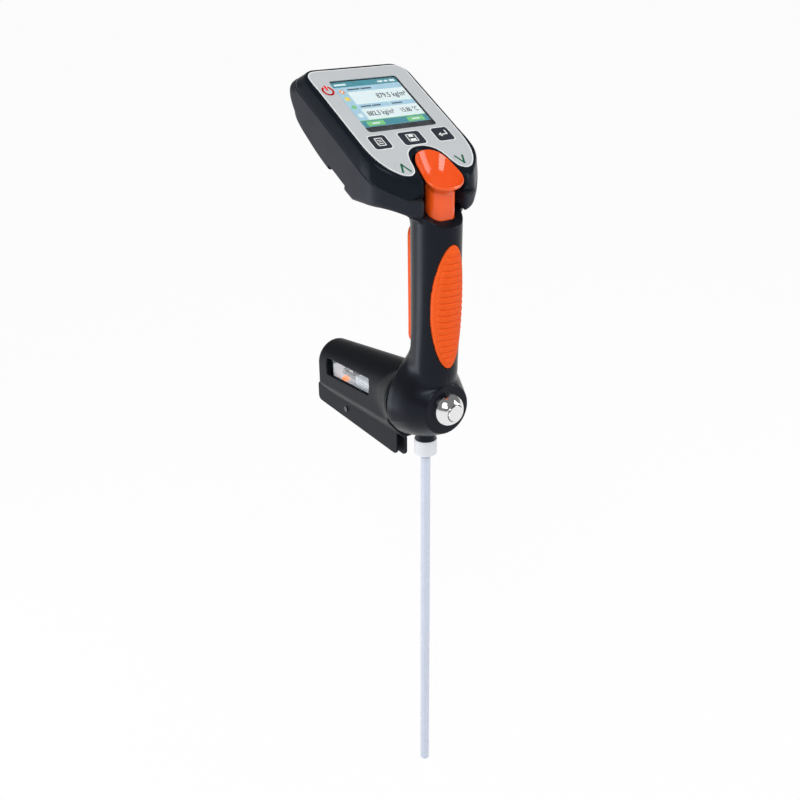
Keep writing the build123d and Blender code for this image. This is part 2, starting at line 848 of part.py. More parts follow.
# Pump barrel: stands on the floor of the grip, with an outlet below and a collar near the top
with BuildPart() as pump_barrel:
    with BuildSketch(Plane.XY.offset(grip_floor)):
        with Locations(pump_spot):
            Circle(barrel_out)
    extrude(amount=cap_low - grip_floor)
    add(grip_form(-grip_wall - 0.15, grip_floor))
    with BuildSketch(Plane.XY.offset(cap_low - 4)):
        Rectangle(60, 60)
    extrude(amount=4, mode=Mode.INTERSECT)
    with BuildSketch(Plane.XY.offset(grip_floor)):
        with Locations(pump_spot):
            Circle(barrel_out)
    extrude(amount=cap_low - grip_floor)
    with BuildSketch(Plane.XY.offset(grip_floor - outlet_l)):
        with Locations(pump_spot):
            Circle(nipple_r)
    extrude(amount=outlet_l)
    with BuildSketch(Plane.XY.offset(grip_floor + 3)):
        with Locations(pump_spot):
            Circle(barrel_r)
    extrude(amount=80, mode=Mode.SUBTRACT)
    with BuildSketch(Plane.XY.offset(grip_floor - outlet_l)):
        with Locations(pump_spot):
            Circle(1.0)
    extrude(amount=20, mode=Mode.SUBTRACT)
    for spot in screw_spots:
        with BuildSketch(Plane.YZ):
            with Locations(spot):
                Circle(3.4)
        extrude(amount=20, both=True, mode=Mode.SUBTRACT)
pump_barrel.part.label = "pump_barrel"
export_step(pump_barrel.part, "parts/pump_barrel.step")

# Barrel cap: guides the rod and carries the spring
with BuildPart() as barrel_cap:
    with BuildSketch(Plane.XY.offset(cap_low)):
        with Locations(pump_spot):
            Circle(barrel_out)
    extrude(amount=cap_top - cap_low)
    with BuildSketch(Plane.XY.offset(cap_low - 3)):
        with Locations(pump_spot):
            Circle(barrel_r - 0.05)
    extrude(amount=3)
    with BuildSketch(Plane.XY.offset(cap_low - 4)):
        with Locations(pump_spot):
            Circle(rod_r + fit)
    extrude(amount=20, mode=Mode.SUBTRACT)
barrel_cap.part.label = "barrel_cap"
export_step(barrel_cap.part, "parts/barrel_cap.step")

# Return spring: coil between the cap and the underside of the column
with BuildPart() as return_spring:
    turn = (column_low - cap_top - 2 * wire_r) / spring_turns
    with BuildLine(Plane(origin=(0, pump_y, cap_top + wire_r), x_dir=(1, 0, 0), z_dir=(0, 0, 1))) as coil:
        Helix(pitch=turn, height=turn * spring_turns, radius=spring_r)
    with BuildSketch(Plane(origin=coil.line @ 0, z_dir=coil.line % 0)):
        Circle(wire_r)
    sweep(is_frenet=True)
return_spring.part.label = "return_spring"
export_step(return_spring.part, "parts/return_spring.step")

# Button bezel: bright housing in the front disc, with a barrel through the wall
with BuildPart() as button_bezel:
    with BuildSketch(Plane.YZ):
        with BuildLine():
            Polyline(
                (disc_y - button_out, bulb_z + cap_r + fit),
                (disc_y - button_out + 7.2, bulb_z + cap_r + fit),
                (disc_y - button_out + 7.2, bulb_z + 3.1),
                (disc_y + 17, bulb_z + 3.1),
                (disc_y + 17, bulb_z + barrel_hole - 0.1),
                (disc_y, bulb_z + barrel_hole - 0.1),
                (disc_y, bulb_z + button_r),
                (disc_y - 1.5, bulb_z + button_r),
            )
            ThreePointArc(
                (disc_y - 1.5, bulb_z + button_r),
                (disc_y - 5.8, bulb_z + button_r - 1.5),
                (disc_y - button_out, bulb_z + cap_r + 1.4),
            )
            Line((disc_y - button_out, bulb_z + cap_r + 1.4), (disc_y - button_out, bulb_z + cap_r + fit))
        make_face()
    revolve(axis=Axis((0, 0, bulb_z), (0, 1, 0)))
button_bezel.part.label = "button_bezel"
export_step(button_bezel.part, "parts/button_bezel.step")

# Button cap: flat disc that is pressed into the bezel
with BuildPart() as button_cap:
    with BuildSketch(round_about(disc_y - button_out - 1, bulb_z, (0, 1, 0))):
        Circle(cap_r)
    extrude(amount=6)
    fillet(button_cap.edges().sort_by(Axis.Y)[0:1], radius=0.5)
    with BuildSketch(round_about(disc_y - button_out + 5, bulb_z, (0, 1, 0))):
        Circle(3.0)
    extrude(amount=14)
button_cap.part.label = "button_cap"
export_step(button_cap.part, "parts/button_cap.step")

# Button nut: clamps the bezel from inside
with BuildPart() as button_nut:
    with BuildSketch(round_about(disc_y + bulb_wall, bulb_z, (0, 1, 0))):
        RegularPolygon(10.5, 6)
        Circle(barrel_hole, mode=Mode.SUBTRACT)
    extrude(amount=3)
button_nut.part.label = "button_nut"
export_step(button_nut.part, "parts/button_nut.step")

# Button base: contact block on the end of the barrel
with BuildPart() as button_base:
    with BuildSketch(round_about(disc_y + 17, bulb_z, (0, 1, 0))):
        Circle(7.4)
    extrude(amount=5)
    with BuildSketch(round_about(disc_y + 22, bulb_z, (0, 1, 0))):
        with Locations((3, 0), (-3, 0)):
            Rectangle(0.8, 2.4)
    extrude(amount=3.5)
    with BuildSketch(round_about(disc_y + 17, bulb_z, (0, 1, 0))):
        Circle(3.3)
    extrude(amount=3, mode=Mode.SUBTRACT)
button_base.part.label = "button_base"
export_step(button_base.part, "parts/button_base.step")

# Inlet fitting: black collar under the lower housing, stem inside it and spigot for the tube
with BuildPart() as inlet_fitting:
    with BuildSketch(Plane.XY.offset(nut_top)):
        with Locations((0, tube_y)):
            Circle(collar_r)
    extrude(amount=14)
    add(bulb_form(0), mode=Mode.SUBTRACT)
    with BuildSketch(round_about(ring_y - 0.5, bulb_z, (0, 1, 0))):
        Circle(ring_r + 0.1)
    extrude(amount=20, mode=Mode.SUBTRACT)
    with BuildSketch(Plane.XY.offset(nut_top - 8)):
        with Locations((0, tube_y)):
            Circle(spigot_r)
    extrude(amount=8)
    with BuildSketch(Plane.XY.offset(nut_top)):
        with Locations((0, tube_y)):
            Circle(stem_r)
    extrude(amount=stem_l)
    with BuildSketch(Plane.XY.offset(nut_top - 9)):
        with Locations((0, tube_y)):
            Circle(tube_r + 0.05)
    extrude(amount=9 + 3, mode=Mode.SUBTRACT)
    with BuildSketch(Plane.XY.offset(nut_top)):
        with Locations((0, tube_y)):
            Circle(tube_bore)
    extrude(amount=30, mode=Mode.SUBTRACT)
inlet_fitting.part.label = "inlet_fitting"
export_step(inlet_fitting.part, "parts/inlet_fitting.step")

# Tube nut: white union nut below the collar
with BuildPart() as tube_nut:
    with BuildSketch(Plane.XY.offset(nut_top - nut_h)):
        with Locations((0, tube_y)):
            Circle(nut_r)
    extrude(amount=nut_h)
    chamfer(tube_nut.edges().group_by(Axis.Z)[0], length=2.2, length2=3.4)
    with BuildSketch(Plane.XY.offset(nut_top - nut_h)):
        with Locations((0, tube_y)):
            Circle(tube_r + 0.1)
    extrude(amount=nut_h, mode=Mode.SUBTRACT)
    with BuildSketch(Plane.XY.offset(nut_top - 9.4)):
        with Locations((0, tube_y)):
            Circle(spigot_r + 0.1)
    extrude(amount=10, mode=Mode.SUBTRACT)
tube_nut.part.label = "tube_nut"
export_step(tube_nut.part, "parts/tube_nut.step")

# Tube ferrule: ring that the nut presses on the tube
with BuildPart() as tube_ferrule:
    with BuildSketch(Plane.XY.offset(nut_top - 9.4)):
        with Locations((0, tube_y)):
            Circle(spigot_r - 0.1)
            Circle(tube_r + 0.05, mode=Mode.SUBTRACT)
    extrude(amount=1.4)
tube_ferrule.part.label = "tube_ferrule"
export_step(tube_ferrule.part, "parts/tube_ferrule.step")

# Sampling tube: straight pipe that is dipped into the liquid
with BuildPart() as sampling_tube:
    with BuildSketch(Plane.XY.offset(tube_low)):
        with Locations((0, tube_y)):
            Circle(tube_r)
    extrude(amount=nut_top - nut_h - 1 - tube_low)
    chamfer(sampling_tube.edges().group_by(Axis.Z)[0], length=0.6)
    with BuildSketch(Plane.XY.offset(nut_top - nut_h - 1)):
        with Locations((0, tube_y)):
            Circle(tube_r - tube_neck)
    extrude(amount=nut_h + 4)
    with BuildSketch(Plane.XY.offset(tube_low - 1)):
        with Locations((0, tube_y)):
            Circle(tube_bore)
    extrude(amount=nut_top + 8 - tube_low, mode=Mode.SUBTRACT)
sampling_tube.part.label = "sampling_tube"
export_step(sampling_tube.part, "parts/sampling_tube.step")

# Ring gasket: between the lower housing and the cell cover
with BuildPart() as ring_gasket:
    with BuildSketch(round_about(ring_y, bulb_z, (0, 1, 0))):
        Circle(ring_r - 1.4)
        Circle(block_r - 0.7, mode=Mode.SUBTRACT)
    extrude(amount=cover_y - ring_y)
ring_gasket.part.label = "ring_gasket"
export_step(ring_gasket.part, "parts/ring_gasket.step")


def hood_form(inset):
    """Hood of the cell: upright sides, arched top and sloping underside, lower and narrower to the rear."""
    back = hood_rear - inset
    low = hood_low + 1.6 * inset
    with BuildPart() as form:
        for y, half, top, spring, base in (
            (hood_front, hood_half1, hood_top1, hood_spring1, hood_side1),
            (back, hood_half2, hood_top2, hood_spring2, hood_side2),
        ):
            side = half - inset
            roof = top - inset
            with BuildSketch(Plane.XZ.offset(-y)):
                with Locations((0, spring)):
                    Ellipse(side, roof - spring)
                with BuildLine():
                    Polyline(
                        (side, spring), (side, base), (4.6, low), (-4.6, low), (-side, base), (-side, spring),
                        close=True,
                    )
                make_face()
        loft(ruled=True)
        with BuildSketch(Plane.XY.offset(hood_low - 5)) as plan:
            with BuildLine():
                Polyline(
                    (hood_half1 - inset + 0.05, hood_front - 1), (hood_half2 - inset + 0.05, back),
                    (inset - hood_half2 - 0.05, back), (inset - hood_half1 - 0.05, hood_front - 1),
                    close=True,
                )
            make_face()
            fillet(plan.vertices().group_by(Axis.Y)[-1], radius=hood_round - inset)
        extrude(amount=100, mode=Mode.INTERSECT)
    return form.part


hood_slope = (hood_half1 - hood_half2) / (hood_rear - hood_front)
hood_side = hood_half1 - hood_slope * (window_y - hood_front)


def window_plane(side):
    """Plane of a window on the outer face of the hood, with y up and x level."""
    return Plane(
        origin=(side * hood_side, window_y, window_z),
        x_dir=(-hood_slope, side, 0),
        z_dir=(side, hood_slope, 0),
    )


# Cell cover: collar behind the ring, tapered hood with two windows, and two keel plates
with BuildPart() as cell_cover:
    add(hood_form(0))
    with BuildSketch(Plane.YZ):
        with BuildLine():
            Polyline((cover_y, bulb_z), (cover_y, bulb_z + ring_r - 0.6), (cover_y + 3, bulb_z + ring_r - 0.6))
            ThreePointArc(
                (cover_y + 3, bulb_z + ring_r - 0.6),
                ((cover_y + funnel_rear) / 2, bulb_z + funnel_mid),
                (funnel_rear, bulb_z + funnel_r),
            )
            Polyline((funnel_rear, bulb_z + funnel_r), (funnel_rear, bulb_z), (cover_y, bulb_z))
        make_face()
    revolve(axis=Axis((0, 0, bulb_z), (0, 1, 0)))
    add(hood_form(hood_wall), mode=Mode.SUBTRACT)
    with BuildSketch(round_about(cover_y, bulb_z, (0, 1, 0))):
        Circle(block_r - 0.2)
    extrude(amount=funnel_rear - cover_y, taper=20, mode=Mode.SUBTRACT)
    for side, front in ((-1, keel_front), (1, keel_front - keel_step)):
        with BuildSketch(Plane.YZ.offset(side * (keel_gap + keel_t) / 2)) as blade:
            with BuildLine():
                Polyline(
                    (front, hood_low + 2), (front, keel_front_low), (keel_rear, keel_rear_low), (keel_rear, hood_low + 2),
                    close=True,
                )
            make_face()
            fillet(blade.vertices().sort_by(Axis.Y)[:2], radius=3)
        extrude(amount=keel_t / 2, both=True)
    for side in (-1, 1):
        with BuildSketch(window_plane(side).offset(-hood_wall - 1)):
            Rectangle(window_l, window_h, rotation=-side * window_slope)
        extrude(amount=hood_wall + 8, mode=Mode.SUBTRACT)
        with BuildSketch(window_plane(side).offset(-hood_wall - 6)):
            Rectangle(window_l + 4, window_h + 4, rotation=-side * window_slope)
        extrude(amount=6, mode=Mode.SUBTRACT)
    with BuildSketch(Plane.YZ.offset(-10)):
        with Locations((keel_screw_y, keel_screw_z)):
            Circle(1.25)
    extrude(amount=20, mode=Mode.SUBTRACT)
cell_cover.part.label = "cell_cover"
export_step(cell_cover.part, "parts/cell_cover.step")

# Window panes: clear plates against the inside of the hood
for side, name in ((-1, "window_left"), (1, "window_right")):
    with BuildPart() as pane:
        with BuildSketch(window_plane(side).offset(-hood_wall - pane_t)):
            Rectangle(window_l + 3.8, window_h + 3.8, rotation=-side * window_slope)
        extrude(amount=pane_t)
    pane.part.label = name
    export_step(pane.part, "parts/" + name + ".step")

# Keel screw: holds the two keel plates together
with BuildPart() as keel_screw:
    with BuildSketch(Plane.YZ.offset(-keel_gap / 2 - keel_t - 0.8)):
        with Locations((keel_screw_y, keel_screw_z)):
            Circle(2.2)
    extrude(amount=0.8)
    with BuildSketch(Plane.YZ.offset(-keel_gap / 2 - keel_t)):
        with Locations((keel_screw_y, keel_screw_z)):
            Circle(1.2)
    extrude(amount=keel_gap + 2 * keel_t)
keel_screw.part.label = "keel_screw"
export_step(keel_screw.part, "parts/keel_screw.step")

# Cell block: closes the lower housing, takes the inlet in its boss and carries the glass tube
with BuildPart() as cell_block:
    with BuildSketch(round_about(block_front, bulb_z, (0, 1, 0))):
        Circle(block_r - 1.6)
    extrude(amount=ring_y - block_front)
    with BuildSketch(round_about(ring_y, bulb_z, (0, 1, 0))):
        Circle(block_r - 0.8)
    extrude(amount=cover_y - ring_y)
    with BuildSketch(round_about(cover_y, bulb_z, (0, 1, 0))):
        Circle(block_step_r)
    extrude(amount=block_rear - cover_y)
    with BuildSketch(Plane.XY.offset(boss_low)):
        with Locations((0, tube_y)):
            Circle(stem_r + 1.8)
        with Locations((0, (tube_y + block_front) / 2)):
            Rectangle(2 * stem_r + 3.6, block_front - tube_y)
    extrude(amount=boss_h)
    for x, z in cell_ports:
        with BuildSketch(round_about(block_front + 3, 0, (0, 1, 0))):
            with Locations((x, -z)):
                Circle(glass_r + 0.05)
        extrude(amount=60, mode=Mode.SUBTRACT)
    with BuildSketch(Plane.XY.offset(nut_top)):
        with Locations((0, tube_y)):
            Circle(stem_r + 0.05)
    extrude(amount=stem_l, mode=Mode.SUBTRACT)
    with BuildSketch(Plane.XY.offset(boss_low)):
        with Locations((0, tube_y)):
            Circle(tube_bore)
    extrude(amount=nut_top + stem_l - boss_low + 1.5, mode=Mode.SUBTRACT)
    with BuildSketch(round_about(tube_y, 0, (0, 1, 0))):
        with Locations((cell_ports[0][0] / 2, -cell_ports[0][1])):
            Rectangle(-cell_ports[0][0] + 2, 2)
    extrude(amount=block_front + 3 - tube_y, mode=Mode.SUBTRACT)
    with BuildSketch(round_about(block_front - nipple_l, hose_z, (0, 1, 0))):
        Circle(nipple_r)
    extrude(amount=nipple_l)
    with BuildSketch(round_about(block_front - nipple_l, hose_z, (0, 1, 0))):
        Circle(1.0)
    extrude(amount=nipple_l + 3, mode=Mode.SUBTRACT)
    with BuildSketch(round_about(block_front + 1.5, 0, (0, 1, 0))):
        with Locations((0, -(hose_z + cell_ports[1][1]) / 2)):
            Rectangle(2, hose_z - cell_ports[1][1] + 2)
        with Locations((cell_ports[1][0] / 2, -cell_ports[1][1])):
            Rectangle(cell_ports[1][0] + 2, 2)
    extrude(amount=2, mode=Mode.SUBTRACT)
cell_block.part.label = "cell_block"
export_step(cell_block.part, "parts/cell_block.step")

# Cell tube: glass tube bent to a U that the liquid fills
with BuildPart() as cell_tube:
    with BuildLine() as bend:
        left, right = cell_ports
        Line((left[0], block_front + 3, left[1]), (left[0], glass_end, left[1]))
        ThreePointArc(
            (left[0], glass_end, left[1]), (0, glass_end + right[0], left[1]), (right[0], glass_end, right[1]))
        Line((right[0], glass_end, right[1]), (right[0], block_front + 3, right[1]))
    with BuildSketch(Plane(origin=bend.line @ 0, z_dir=bend.line % 0)):
        Circle(glass_r)
        Circle(glass_r - 0.5, mode=Mode.SUBTRACT)
    sweep()
cell_tube.part.label = "cell_tube"
export_step(cell_tube.part, "parts/cell_tube.step")

# Pump hose: from the outlet of the pump over the button to the cell block
with BuildPart() as pump_hose:
    with BuildLine() as route:
        Line((0, pump_y, grip_floor - outlet_l + nipple_l), (0, pump_y, grip_floor - outlet_l))
        ThreePointArc(
            (0, pump_y, grip_floor - outlet_l),
            (0, pump_y + hose_bend * (1 - sqrt(0.5)), grip_floor - outlet_l - hose_bend * sqrt(0.5)),
            (0, pump_y + hose_bend, hose_z),
        )
        Line((0, pump_y + hose_bend, hose_z), (0, block_front, hose_z))
    with BuildSketch(Plane(origin=route.line @ 0, z_dir=route.line % 0)):
        Circle(nipple_r + 1.1)
        Circle(nipple_r + 0.03, mode=Mode.SUBTRACT)
    sweep()
pump_hose.part.label = "pump_hose"
export_step(pump_hose.part, "parts/pump_hose.step")

# Cell frame: pale tray under the glass tube, with an end wall at the rear and a tongue on the block
with BuildPart() as cell_frame:
    with BuildSketch(Plane.XY.offset(tray_z - 2)):
        with Locations((0, (tray_front + tray_rear) / 2)):
            Rectangle(2 * tray_half, tray_rear - tray_front)
    extrude(amount=2)
    with BuildSketch(Plane.XZ.offset(-tray_front - 2)):
        with Locations((0, tray_z + 2)):
            Rectangle(2 * tray_half, 8)
    extrude(amount=2)
    with BuildSketch(Plane.XZ.offset(-tray_front)):
        with Locations((0, tray_z + 4)):
            Rectangle(12, 4)
    extrude(amount=tray_front - block_rear)
    with BuildSketch(Plane.XZ.offset(-tray_rear)):
        with Locations((0, tray_z + 5)):
            Rectangle(2 * tray_half, 14)
    extrude(amount=2)
cell_frame.part.label = "cell_frame"
export_step(cell_frame.part, "parts/cell_frame.step")

# Cell lamp: small light on the tray
with BuildPart() as cell_lamp:
    with BuildSketch(Plane.XY.offset(tray_z)):
        with Locations((lamp_x, lamp_y)):
            Circle(2.5)
    extrude(amount=3)
    fillet(cell_lamp.edges().group_by(Axis.Z)[-1], radius=1.5)
cell_lamp.part.label = "cell_lamp"
export_step(cell_lamp.part, "parts/cell_lamp.step")
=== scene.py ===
import math

import bmesh
import bpy
import numpy as np
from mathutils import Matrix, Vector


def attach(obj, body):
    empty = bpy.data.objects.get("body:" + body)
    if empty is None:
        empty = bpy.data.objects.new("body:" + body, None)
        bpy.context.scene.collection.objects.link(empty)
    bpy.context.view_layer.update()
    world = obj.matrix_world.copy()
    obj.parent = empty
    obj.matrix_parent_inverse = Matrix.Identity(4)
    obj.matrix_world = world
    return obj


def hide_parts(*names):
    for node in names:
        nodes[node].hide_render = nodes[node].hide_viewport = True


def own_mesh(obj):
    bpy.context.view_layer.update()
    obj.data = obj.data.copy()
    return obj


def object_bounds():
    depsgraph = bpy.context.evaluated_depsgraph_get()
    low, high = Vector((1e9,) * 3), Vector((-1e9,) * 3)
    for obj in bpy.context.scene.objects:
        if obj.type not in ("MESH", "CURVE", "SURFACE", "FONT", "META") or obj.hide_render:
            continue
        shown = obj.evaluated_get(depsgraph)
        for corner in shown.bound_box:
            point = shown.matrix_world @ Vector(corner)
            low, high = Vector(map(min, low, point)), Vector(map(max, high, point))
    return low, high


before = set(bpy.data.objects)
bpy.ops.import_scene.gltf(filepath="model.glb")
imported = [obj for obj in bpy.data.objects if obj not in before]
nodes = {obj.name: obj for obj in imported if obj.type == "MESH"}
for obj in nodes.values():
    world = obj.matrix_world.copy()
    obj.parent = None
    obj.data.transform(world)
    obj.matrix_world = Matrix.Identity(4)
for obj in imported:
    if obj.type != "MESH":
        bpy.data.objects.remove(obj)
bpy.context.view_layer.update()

import openvdb
from mathutils import Matrix, Vector

# Handle: two moulded halves of black glass-filled plastic that meet on the middle plane, with
# the grip above and the round lower housing in one piece. The halves are screwed together
# from the right and carry the head on a flange.
HEAD_LOW = 62.5
HEAD_LAP = 0.9
NOSE_Y = 6.0
NOSE_SLOPE = math.tan(math.radians(27))
BULB_Z = -75.0
BULB_FRONT, RING_Y = -14.0, 15.5
RING_BORE = 29.1
PALM_Z, PALM_HALF_W, PALM_HALF_H = -2.6, 12.2, 42.2
FINGER_Z = 6.0
PAD_GAP, POCKET_DEPTH = 0.3, 1.4
COLUMN_Y, COLUMN_W, COLUMN_D, COLUMN_R = -4.0, 18.5, 15.0, 6.2
COLUMN_GAP = 0.4
SHAFT_FLOOR, SHAFT_MOUTH, MOUTH_SPREAD = 15.0, 57.5, 0.45
HANDLE_SCREWS = ((11.0, 30.0), (10.8, -41.0))


def flow(at, spots, values):
    """Smooth run through a few measured values."""
    spots, values = np.array(spots, float), np.array(values, float)
    rise = np.gradient(values, spots)
    at = np.clip(at, spots[0], spots[-1])
    k = np.clip(np.searchsorted(spots, at) - 1, 0, len(spots) - 2)
    span = spots[k + 1] - spots[k]
    t = (at - spots[k]) / span
    start = (1 + 2 * t) * (1 - t) ** 2 * values[k] + span * t * (1 - t) ** 2 * rise[k]
    return start + t ** 2 * (3 - 2 * t) * values[k + 1] - span * t ** 2 * (1 - t) * rise[k + 1]


def oval(x, y, a, b):
    """Distance from an oval with half axes a and b, negative inside, as in all of these."""
    r = np.sqrt((x / a) ** 2 + (y / b) ** 2 + 1e-4)
    return r * (r - 1) / np.sqrt((x / a ** 2) ** 2 + (y / b ** 2) ** 2 + 1e-4 / (a * b))


def slab(x, y, width, depth, corner):
    """Distance from a rectangle with rounded corners."""
    qx, qy = np.abs(x) - width / 2 + corner, np.abs(y) - depth / 2 + corner
    outside = np.hypot(np.maximum(qx, 0), np.maximum(qy, 0))
    return outside + np.minimum(np.maximum(qx, qy), 0) - corner


def share(form, *others):
    """What all the forms have in common, with sharp edges."""
    for other in others:
        form = np.maximum(form, other)
    return form


def cut(form, *others):
    """A form less what the others have in common."""
    return np.maximum(form, -share(*others))


def meet(a, b, radius):
    """What two forms share, with a rounded edge between them."""
    outside = np.hypot(np.maximum(a + radius, 0), np.maximum(b + radius, 0))
    return np.minimum(np.maximum(a, b), -radius) + outside


def merge(a, b, radius):
    """Two forms in one, with a hollow fillet between them."""
    h = np.clip(0.5 + 0.5 * (b - a) / radius, 0, 1)
    return b * (1 - h) + a * h - radius * h * (1 - h)


def stand(name, data):
    """Puts a new object with this data into the scene."""
    piece = bpy.data.objects.new(name, data)
    bpy.context.scene.collection.objects.link(piece)
    return piece


def cast(name, form, low, high, step, turn=None):
    """Solid piece: skins the zero surface of a form that is given in millimetres."""
    runs = [np.arange(low[k], high[k] + step, step) for k in range(3)]
    x, y, z = np.meshgrid(*runs, indexing="ij", sparse=True)
    block = np.broadcast_to(form(x, y, z), tuple(len(run) for run in runs))
    grid = openvdb.FloatGrid(9.0)
    grid.copyFromArray(np.ascontiguousarray(block, dtype=np.float32))
    points, quads = grid.convertToQuads()
    points = points * step + np.array(low)
    if turn is not None:
        points = turn(points)
    a, b, c, d = (points[quads[:, k]] for k in range(4))
    if (np.cross(c - a, d - b) * (a + c)).sum() < 0:
        quads = quads[:, ::-1]
    data = bpy.data.meshes.new(name)
    data.from_pydata((points / 1000).tolist(), [], quads.tolist())
    data.polygons.foreach_set("use_smooth", [True] * len(data.polygons))
    return stand(name, data)


def settle(piece, body, material, *replaced, slot=None):
    """Puts a finished piece on its body, in its material, for the nodes that it stands for."""
    piece.data.materials.clear()
    piece.data.materials.append(material)
    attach(piece, body)
    if replaced:
        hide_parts(*replaced)


def blank(name):
    """New material, with its nodes and the sockets of its shader."""
    mat = bpy.data.materials.new(name)
    mat.use_nodes = True
    return mat, mat.node_tree, mat.node_tree.nodes["Principled BSDF"].inputs


def noise(tree, place, scale, detail):
    """Cloudy pattern over a piece."""
    cloud = tree.nodes.new("ShaderNodeTexNoise")
    cloud.inputs["Scale"].default_value = scale
    cloud.inputs["Detail"].default_value = detail
    tree.links.new(place, cloud.inputs["Vector"])
    return cloud.outputs["Fac"]


def vary(tree, pattern, limits, spread=(0.0, 1.0)):
    """Pattern brought from its own spread of values to two limits."""
    scale = tree.nodes.new("ShaderNodeMapRange")
    scale.inputs["From Min"].default_value, scale.inputs["From Max"].default_value = spread
    scale.inputs["To Min"].default_value, scale.inputs["To Max"].default_value = limits
    tree.links.new(pattern, scale.inputs["Value"])
    return scale.outputs["Result"]


def emboss(tree, pattern, strength, depth):
    """Pattern that stands out a little from the surface."""
    bump = tree.nodes.new("ShaderNodeBump")
    bump.inputs["Strength"].default_value = strength
    bump.inputs["Distance"].default_value = depth
    tree.links.new(pattern, bump.inputs["Height"])
    return bump.outputs["Normal"]


def moulding(name, dark, light, rough, grain, depth, shine):
    """Moulded plastic: two close tints, a cloudy gloss and a fine grain from the tool. On the
    black plastics the sheen is a little cool."""
    mat, tree, shader = blank(name)
    place = tree.nodes.new("ShaderNodeTexCoord").outputs["Object"]
    cloud = noise(tree, place, 55.0, 5.0)
    tint = tree.nodes.new("ShaderNodeMix")
    tint.data_type = "RGBA"
    tint.inputs["A"].default_value = (*dark, 1.0)
    tint.inputs["B"].default_value = (*light, 1.0)
    tree.links.new(cloud, tint.inputs["Factor"])
    tree.links.new(tint.outputs["Result"], shader["Base Color"])
    tree.links.new(vary(tree, cloud, rough, (0.3, 0.7)), shader["Roughness"])
    fine = noise(tree, place, grain, 3.0)
    tree.links.new(emboss(tree, fine, depth, 0.0002), shader["Normal"])
    shader["Specular IOR Level"].default_value = shine
    is_black = max(light) < 0.04
    if is_black:
        shader["Specular Tint"].default_value = (0.70, 0.80, 1.0, 1.0)
    return mat


def grip(x, y, z):
    """Upright oval of the grip, a little slimmer from front to back towards the housing."""
    heights = [-80, -72, -64, -56, -42, -25, -5, 20, 43, 64.5]
    a = flow(z, heights, [16.4, 16.4, 16.3, 16.2, 16.1, 15.9, 15.8, 15.8, 15.8, 15.8])
    b = flow(z, heights, [9.0, 11.5, 14.2, 15.6, 16.1, 16.6, 17.3, 17.8, 18.0, 18.0])
    middle = flow(z, heights, [4.6, 3.8, 2.4, 1.4, 0.8, 0.0, -0.5, -0.7, -0.7, -0.7])
    return share(oval(x, y - middle, a, b), -76 - z)


def bulb(x, y, z):
    """Round lower housing, turned about the front-to-back axis. Here and in other forms with
    drafted sides, a factor under one brings the value back to about the true distance."""
    radius = flow(y, [BULB_FRONT, 0, RING_Y], [17.6, 24.8, 29.0])
    side = (np.hypot(x, z - BULB_Z + 0.7) - radius) * 0.93
    return meet(meet(side, BULB_FRONT - y, 0.4), y - RING_Y, 0.4)


def palm_area(x, z, spare):
    """Oval field of the palm pad."""
    return oval(x, z - PALM_Z, PALM_HALF_W + spare, PALM_HALF_H + spare)


def finger_area(x, z, spare):
    """Long field of the finger pad."""
    return slab(x, z - FINGER_Z, 21.0 + 2 * spare, 82.0 + 2 * spare, 8.0 + spare)


def handle(x, y, z):
    """Whole handle with its pockets, before it is parted in two."""
    under = np.minimum(HEAD_LOW, HEAD_LOW + (y - NOSE_Y) * NOSE_SLOPE)
    skin = grip(x, y, z)
    flange = meet(slab(x, y - 5.5, 45, 20, 8), under - 3 - z, 0.8)
    body = merge(skin, flange, flow(y, [-10, 0, 12], [2.0, 5.0, 13.0]))
    body = merge(body, bulb(x, y, z), flow(y, [BULB_FRONT, -6, 2, 12], [1.5, 5.0, 10.0, 17.0]))
    body = share(body, z - under - HEAD_LAP)
    body = cut(body, palm_area(x, z, PAD_GAP), -skin - POCKET_DEPTH, y)
    body = cut(body, finger_area(x, z, PAD_GAP), -skin - POCKET_DEPTH, -y)
    body = cut(body, RING_Y - y, np.hypot(x, z - BULB_Z) - RING_BORE)
    spread = 2 * COLUMN_GAP + np.maximum(z - SHAFT_MOUTH, 0) * MOUTH_SPREAD
    shaft = slab(x, y - COLUMN_Y, COLUMN_W + spread, COLUMN_D + spread, COLUMN_R + COLUMN_GAP)
    body = cut(body, shaft, SHAFT_FLOOR - z)
    for bore_y, bore_z in HANDLE_SCREWS:
        body = cut(body, np.hypot(y - bore_y, z - bore_z) - 2.7, 5.4 - x)
    return body


handle_black = moulding("handle_black", (0.0040, 0.0044, 0.0064), (0.0066, 0.0072, 0.0104),
                        (0.27, 0.33), 2600.0, 0.04, 0.20)
for half, way, left, right in (("left", 1, -30.5, 1.0), ("right", -1, -1.0, 30.5)):
    shell = cast("handle_shell_" + half, lambda x, y, z: share(handle(x, y, z), way * x - 0.3),
                 (left, -19.5, -105.5), (right, 20.0, 64.5), 0.5)
    settle(shell, "meter", handle_black, "handle_" + half, slot="case")

# Grip pads: soft orange rubber moulded into pockets of the handle. The palm pad is an oval with
# raised bars across it, the finger pad a long rounded cushion at the back.
PAD_EDGE, PAD_SEAT = -0.05, 1.3
PALM_BARS, PALM_PITCH, BAR_R = 18, 4.3, 1.75
FINGER_PITCH = 4.4


